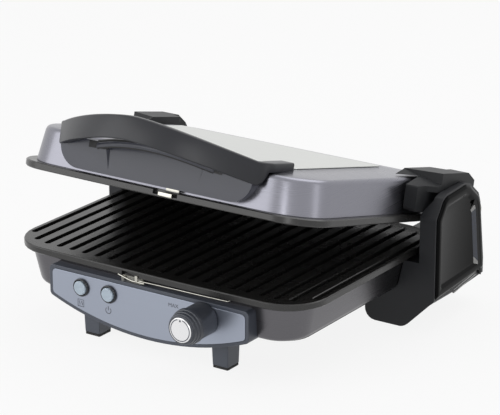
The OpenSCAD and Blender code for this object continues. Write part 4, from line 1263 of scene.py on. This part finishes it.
@dataclass
class Studio:
    """Floor, lights and camera."""

    azimuth: float = 34.2196
    elevation: float = 18.9824
    roll: float = -0.02
    focal_px: float = 2489.7
    position: Point = (1129.3, -1515.7, 776.6)
    width_px: float = 500.0
    bright_side: Point = (-1.0, 0.0, 0.2)
    room_dark: float = 0.07
    room_bright: float = 0.72
    floor_white_share: float = 0.88
    lamps: list[tuple[str, float, float, float, float, float, float]] = field(default_factory=lambda: [
        ("front_left", -40.0, 24.0, 1.9, 1.9, 1.5, 13.0),
        ("front_strip", 24.0, 16.0, 2.0, 0.28, 1.5, 5.0),
        ("overhead", 150.0, 66.0, 1.8, 1.8, 1.8, 15.0),
        ("right", 97.0, 14.0, 2.2, 0.35, 1.0, 1.6),
    ])

    def camera(self) -> None:
        """Places the camera."""
        data = bpy.data.cameras.new("studio_camera")
        data.sensor_fit = "HORIZONTAL"
        data.sensor_width = 36.0
        data.lens = self.focal_px * 36.0 / self.width_px
        data.clip_end = 50.0
        az, el = math.radians(self.azimuth), math.radians(self.elevation)
        back = Vector((math.sin(az) * math.cos(el), -math.cos(az) * math.cos(el), math.sin(el)))
        right = Vector((math.cos(az), math.sin(az), 0.0))
        up = back.cross(right)
        turn = Matrix((right, up, back)).transposed()
        camera = bpy.data.objects.new("studio_camera", data)
        place = (Vector(self.position) + Vector((0.0, DATUM.front, 0.0))) * MM
        camera.matrix_world = (Matrix.Translation(place) @ turn.to_4x4()
                               @ Matrix.Rotation(math.radians(self.roll), 4, "Z"))
        bpy.context.scene.collection.objects.link(camera)
        bpy.context.scene.camera = camera

    def floor(self) -> None:
        """Lays the pale floor."""
        mesh = bpy.data.meshes.new("studio_floor")
        size = 6.0
        mesh.from_pydata([(-size, -size, 0), (size, -size, 0), (size, size, 0), (-size, size, 0)], [], [(0, 1, 2, 3)])
        floor = bpy.data.objects.new("studio_floor", mesh)
        material, sheet, shader = new_material("Pale floor")
        shader.inputs["Base Color"].default_value = (0.86, 0.86, 0.86, 1.0)
        shader.inputs["Roughness"].default_value = 0.9
        shader.inputs["Specular IOR Level"].default_value = 0.0
        glow = sheet.add("ShaderNodeEmission", {"Color": (1.0, 1.0, 1.0, 1.0), "Strength": 1.0})
        rays = sheet.add("ShaderNodeLightPath")
        seen = sheet.maths("MAXIMUM", rays.outputs["Is Camera Ray"], rays.outputs["Is Glossy Ray"])
        seen = sheet.maths("MAXIMUM", seen, rays.outputs["Is Transmission Ray"])
        share = sheet.maths("MULTIPLY", seen, self.floor_white_share)
        mix = sheet.add("ShaderNodeMixShader")
        sheet.join(share, mix.inputs[0])
        sheet.join(shader.outputs[0], mix.inputs[1])
        sheet.join(glow.outputs[0], mix.inputs[2])
        sheet.join(mix.outputs[0], material.node_tree.nodes["Material Output"].inputs["Surface"])
        mesh.materials.append(material)
        bpy.context.scene.collection.objects.link(floor)

    def light(self) -> None:
        """Hangs the lamps and sets the world."""
        for name, azimuth, elevation, distance, wide, high, power in self.lamps:
            az, el = math.radians(azimuth), math.radians(elevation)
            place = distance * Vector((math.sin(az) * math.cos(el), -math.cos(az) * math.cos(el), math.sin(el)))
            data = bpy.data.lights.new(name, "AREA")
            data.shape = "RECTANGLE"
            data.size = wide
            data.size_y = high
            data.energy = power
            lamp = bpy.data.objects.new(name, data)
            lamp.location = place
            lamp.rotation_euler = (Vector((0, 0, 0.08)) - place).to_track_quat("-Z", "Y").to_euler()
            bpy.context.scene.collection.objects.link(lamp)
        world = bpy.data.worlds.new("studio_world")
        bpy.context.scene.world = world
        world.use_nodes = True
        sheet = NodeSheet(world.node_tree)
        ambient = world.node_tree.nodes["Background"]
        ambient.inputs["Color"].default_value = (1.0, 1.0, 1.0, 1.0)
        place = sheet.add("ShaderNodeTexCoord")
        across = sheet.add("ShaderNodeVectorMath", operation="DOT_PRODUCT")
        across.inputs[1].default_value = self.bright_side
        sheet.join(place.outputs["Generated"], across.inputs[0])
        ramp = sheet.add("ShaderNodeMapRange", {"From Min": 0.0, "From Max": 0.5, "To Min": self.room_dark,
                                                "To Max": self.room_bright})
        sheet.join(across.outputs["Value"], ramp.inputs["Value"])
        sheet.join(ramp.outputs[0], ambient.inputs["Strength"])
        white = sheet.add("ShaderNodeBackground", {"Color": (1.0, 1.0, 1.0, 1.0), "Strength": 1.0})
        rays = sheet.add("ShaderNodeLightPath")
        mix = sheet.add("ShaderNodeMixShader")
        seen = sheet.maths("MAXIMUM", rays.outputs["Is Camera Ray"], rays.outputs["Is Transmission Ray"])
        shown = sheet.maths("MAXIMUM", seen, rays.outputs["Is Glossy Ray"])
        sheet.join(shown, mix.inputs[0])
        sheet.join(ambient.outputs[0], mix.inputs[1])
        sheet.join(white.outputs[0], mix.inputs[2])
        sheet.join(mix.outputs[0], world.node_tree.nodes["World Output"].inputs["Surface"])

    def build(self) -> None:
        """Sets up the whole studio."""
        self.camera()
        self.floor()
        self.light()
        bpy.context.scene.view_settings.view_transform = "Standard"
        LOG.info("studio ready")


def main() -> None:
    """Dresses the grill and sets it in the studio."""
    logging.basicConfig(level=logging.INFO, format="%(message)s")
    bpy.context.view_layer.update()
    finishes = Finishes()
    finishes.dress_nodes()
    Mouldings().build(finishes)
    Tub().build(finishes)
    LidShell().build(finishes)
    HandleBar().build(finishes)
    FingerGuard().build(finishes)
    Latches().build(finishes)
    for side, sign in (("left", -1), ("right", 1)):
        cover = SideCover(sign)
        cover.build(f"{side}_tower_cover", finishes.cover)
        PaintedCoverReflections(cover).build(side, finishes)
    PanelMarks(finishes).build()
    Studio().build()


if __name__ == "__main__":
    main()
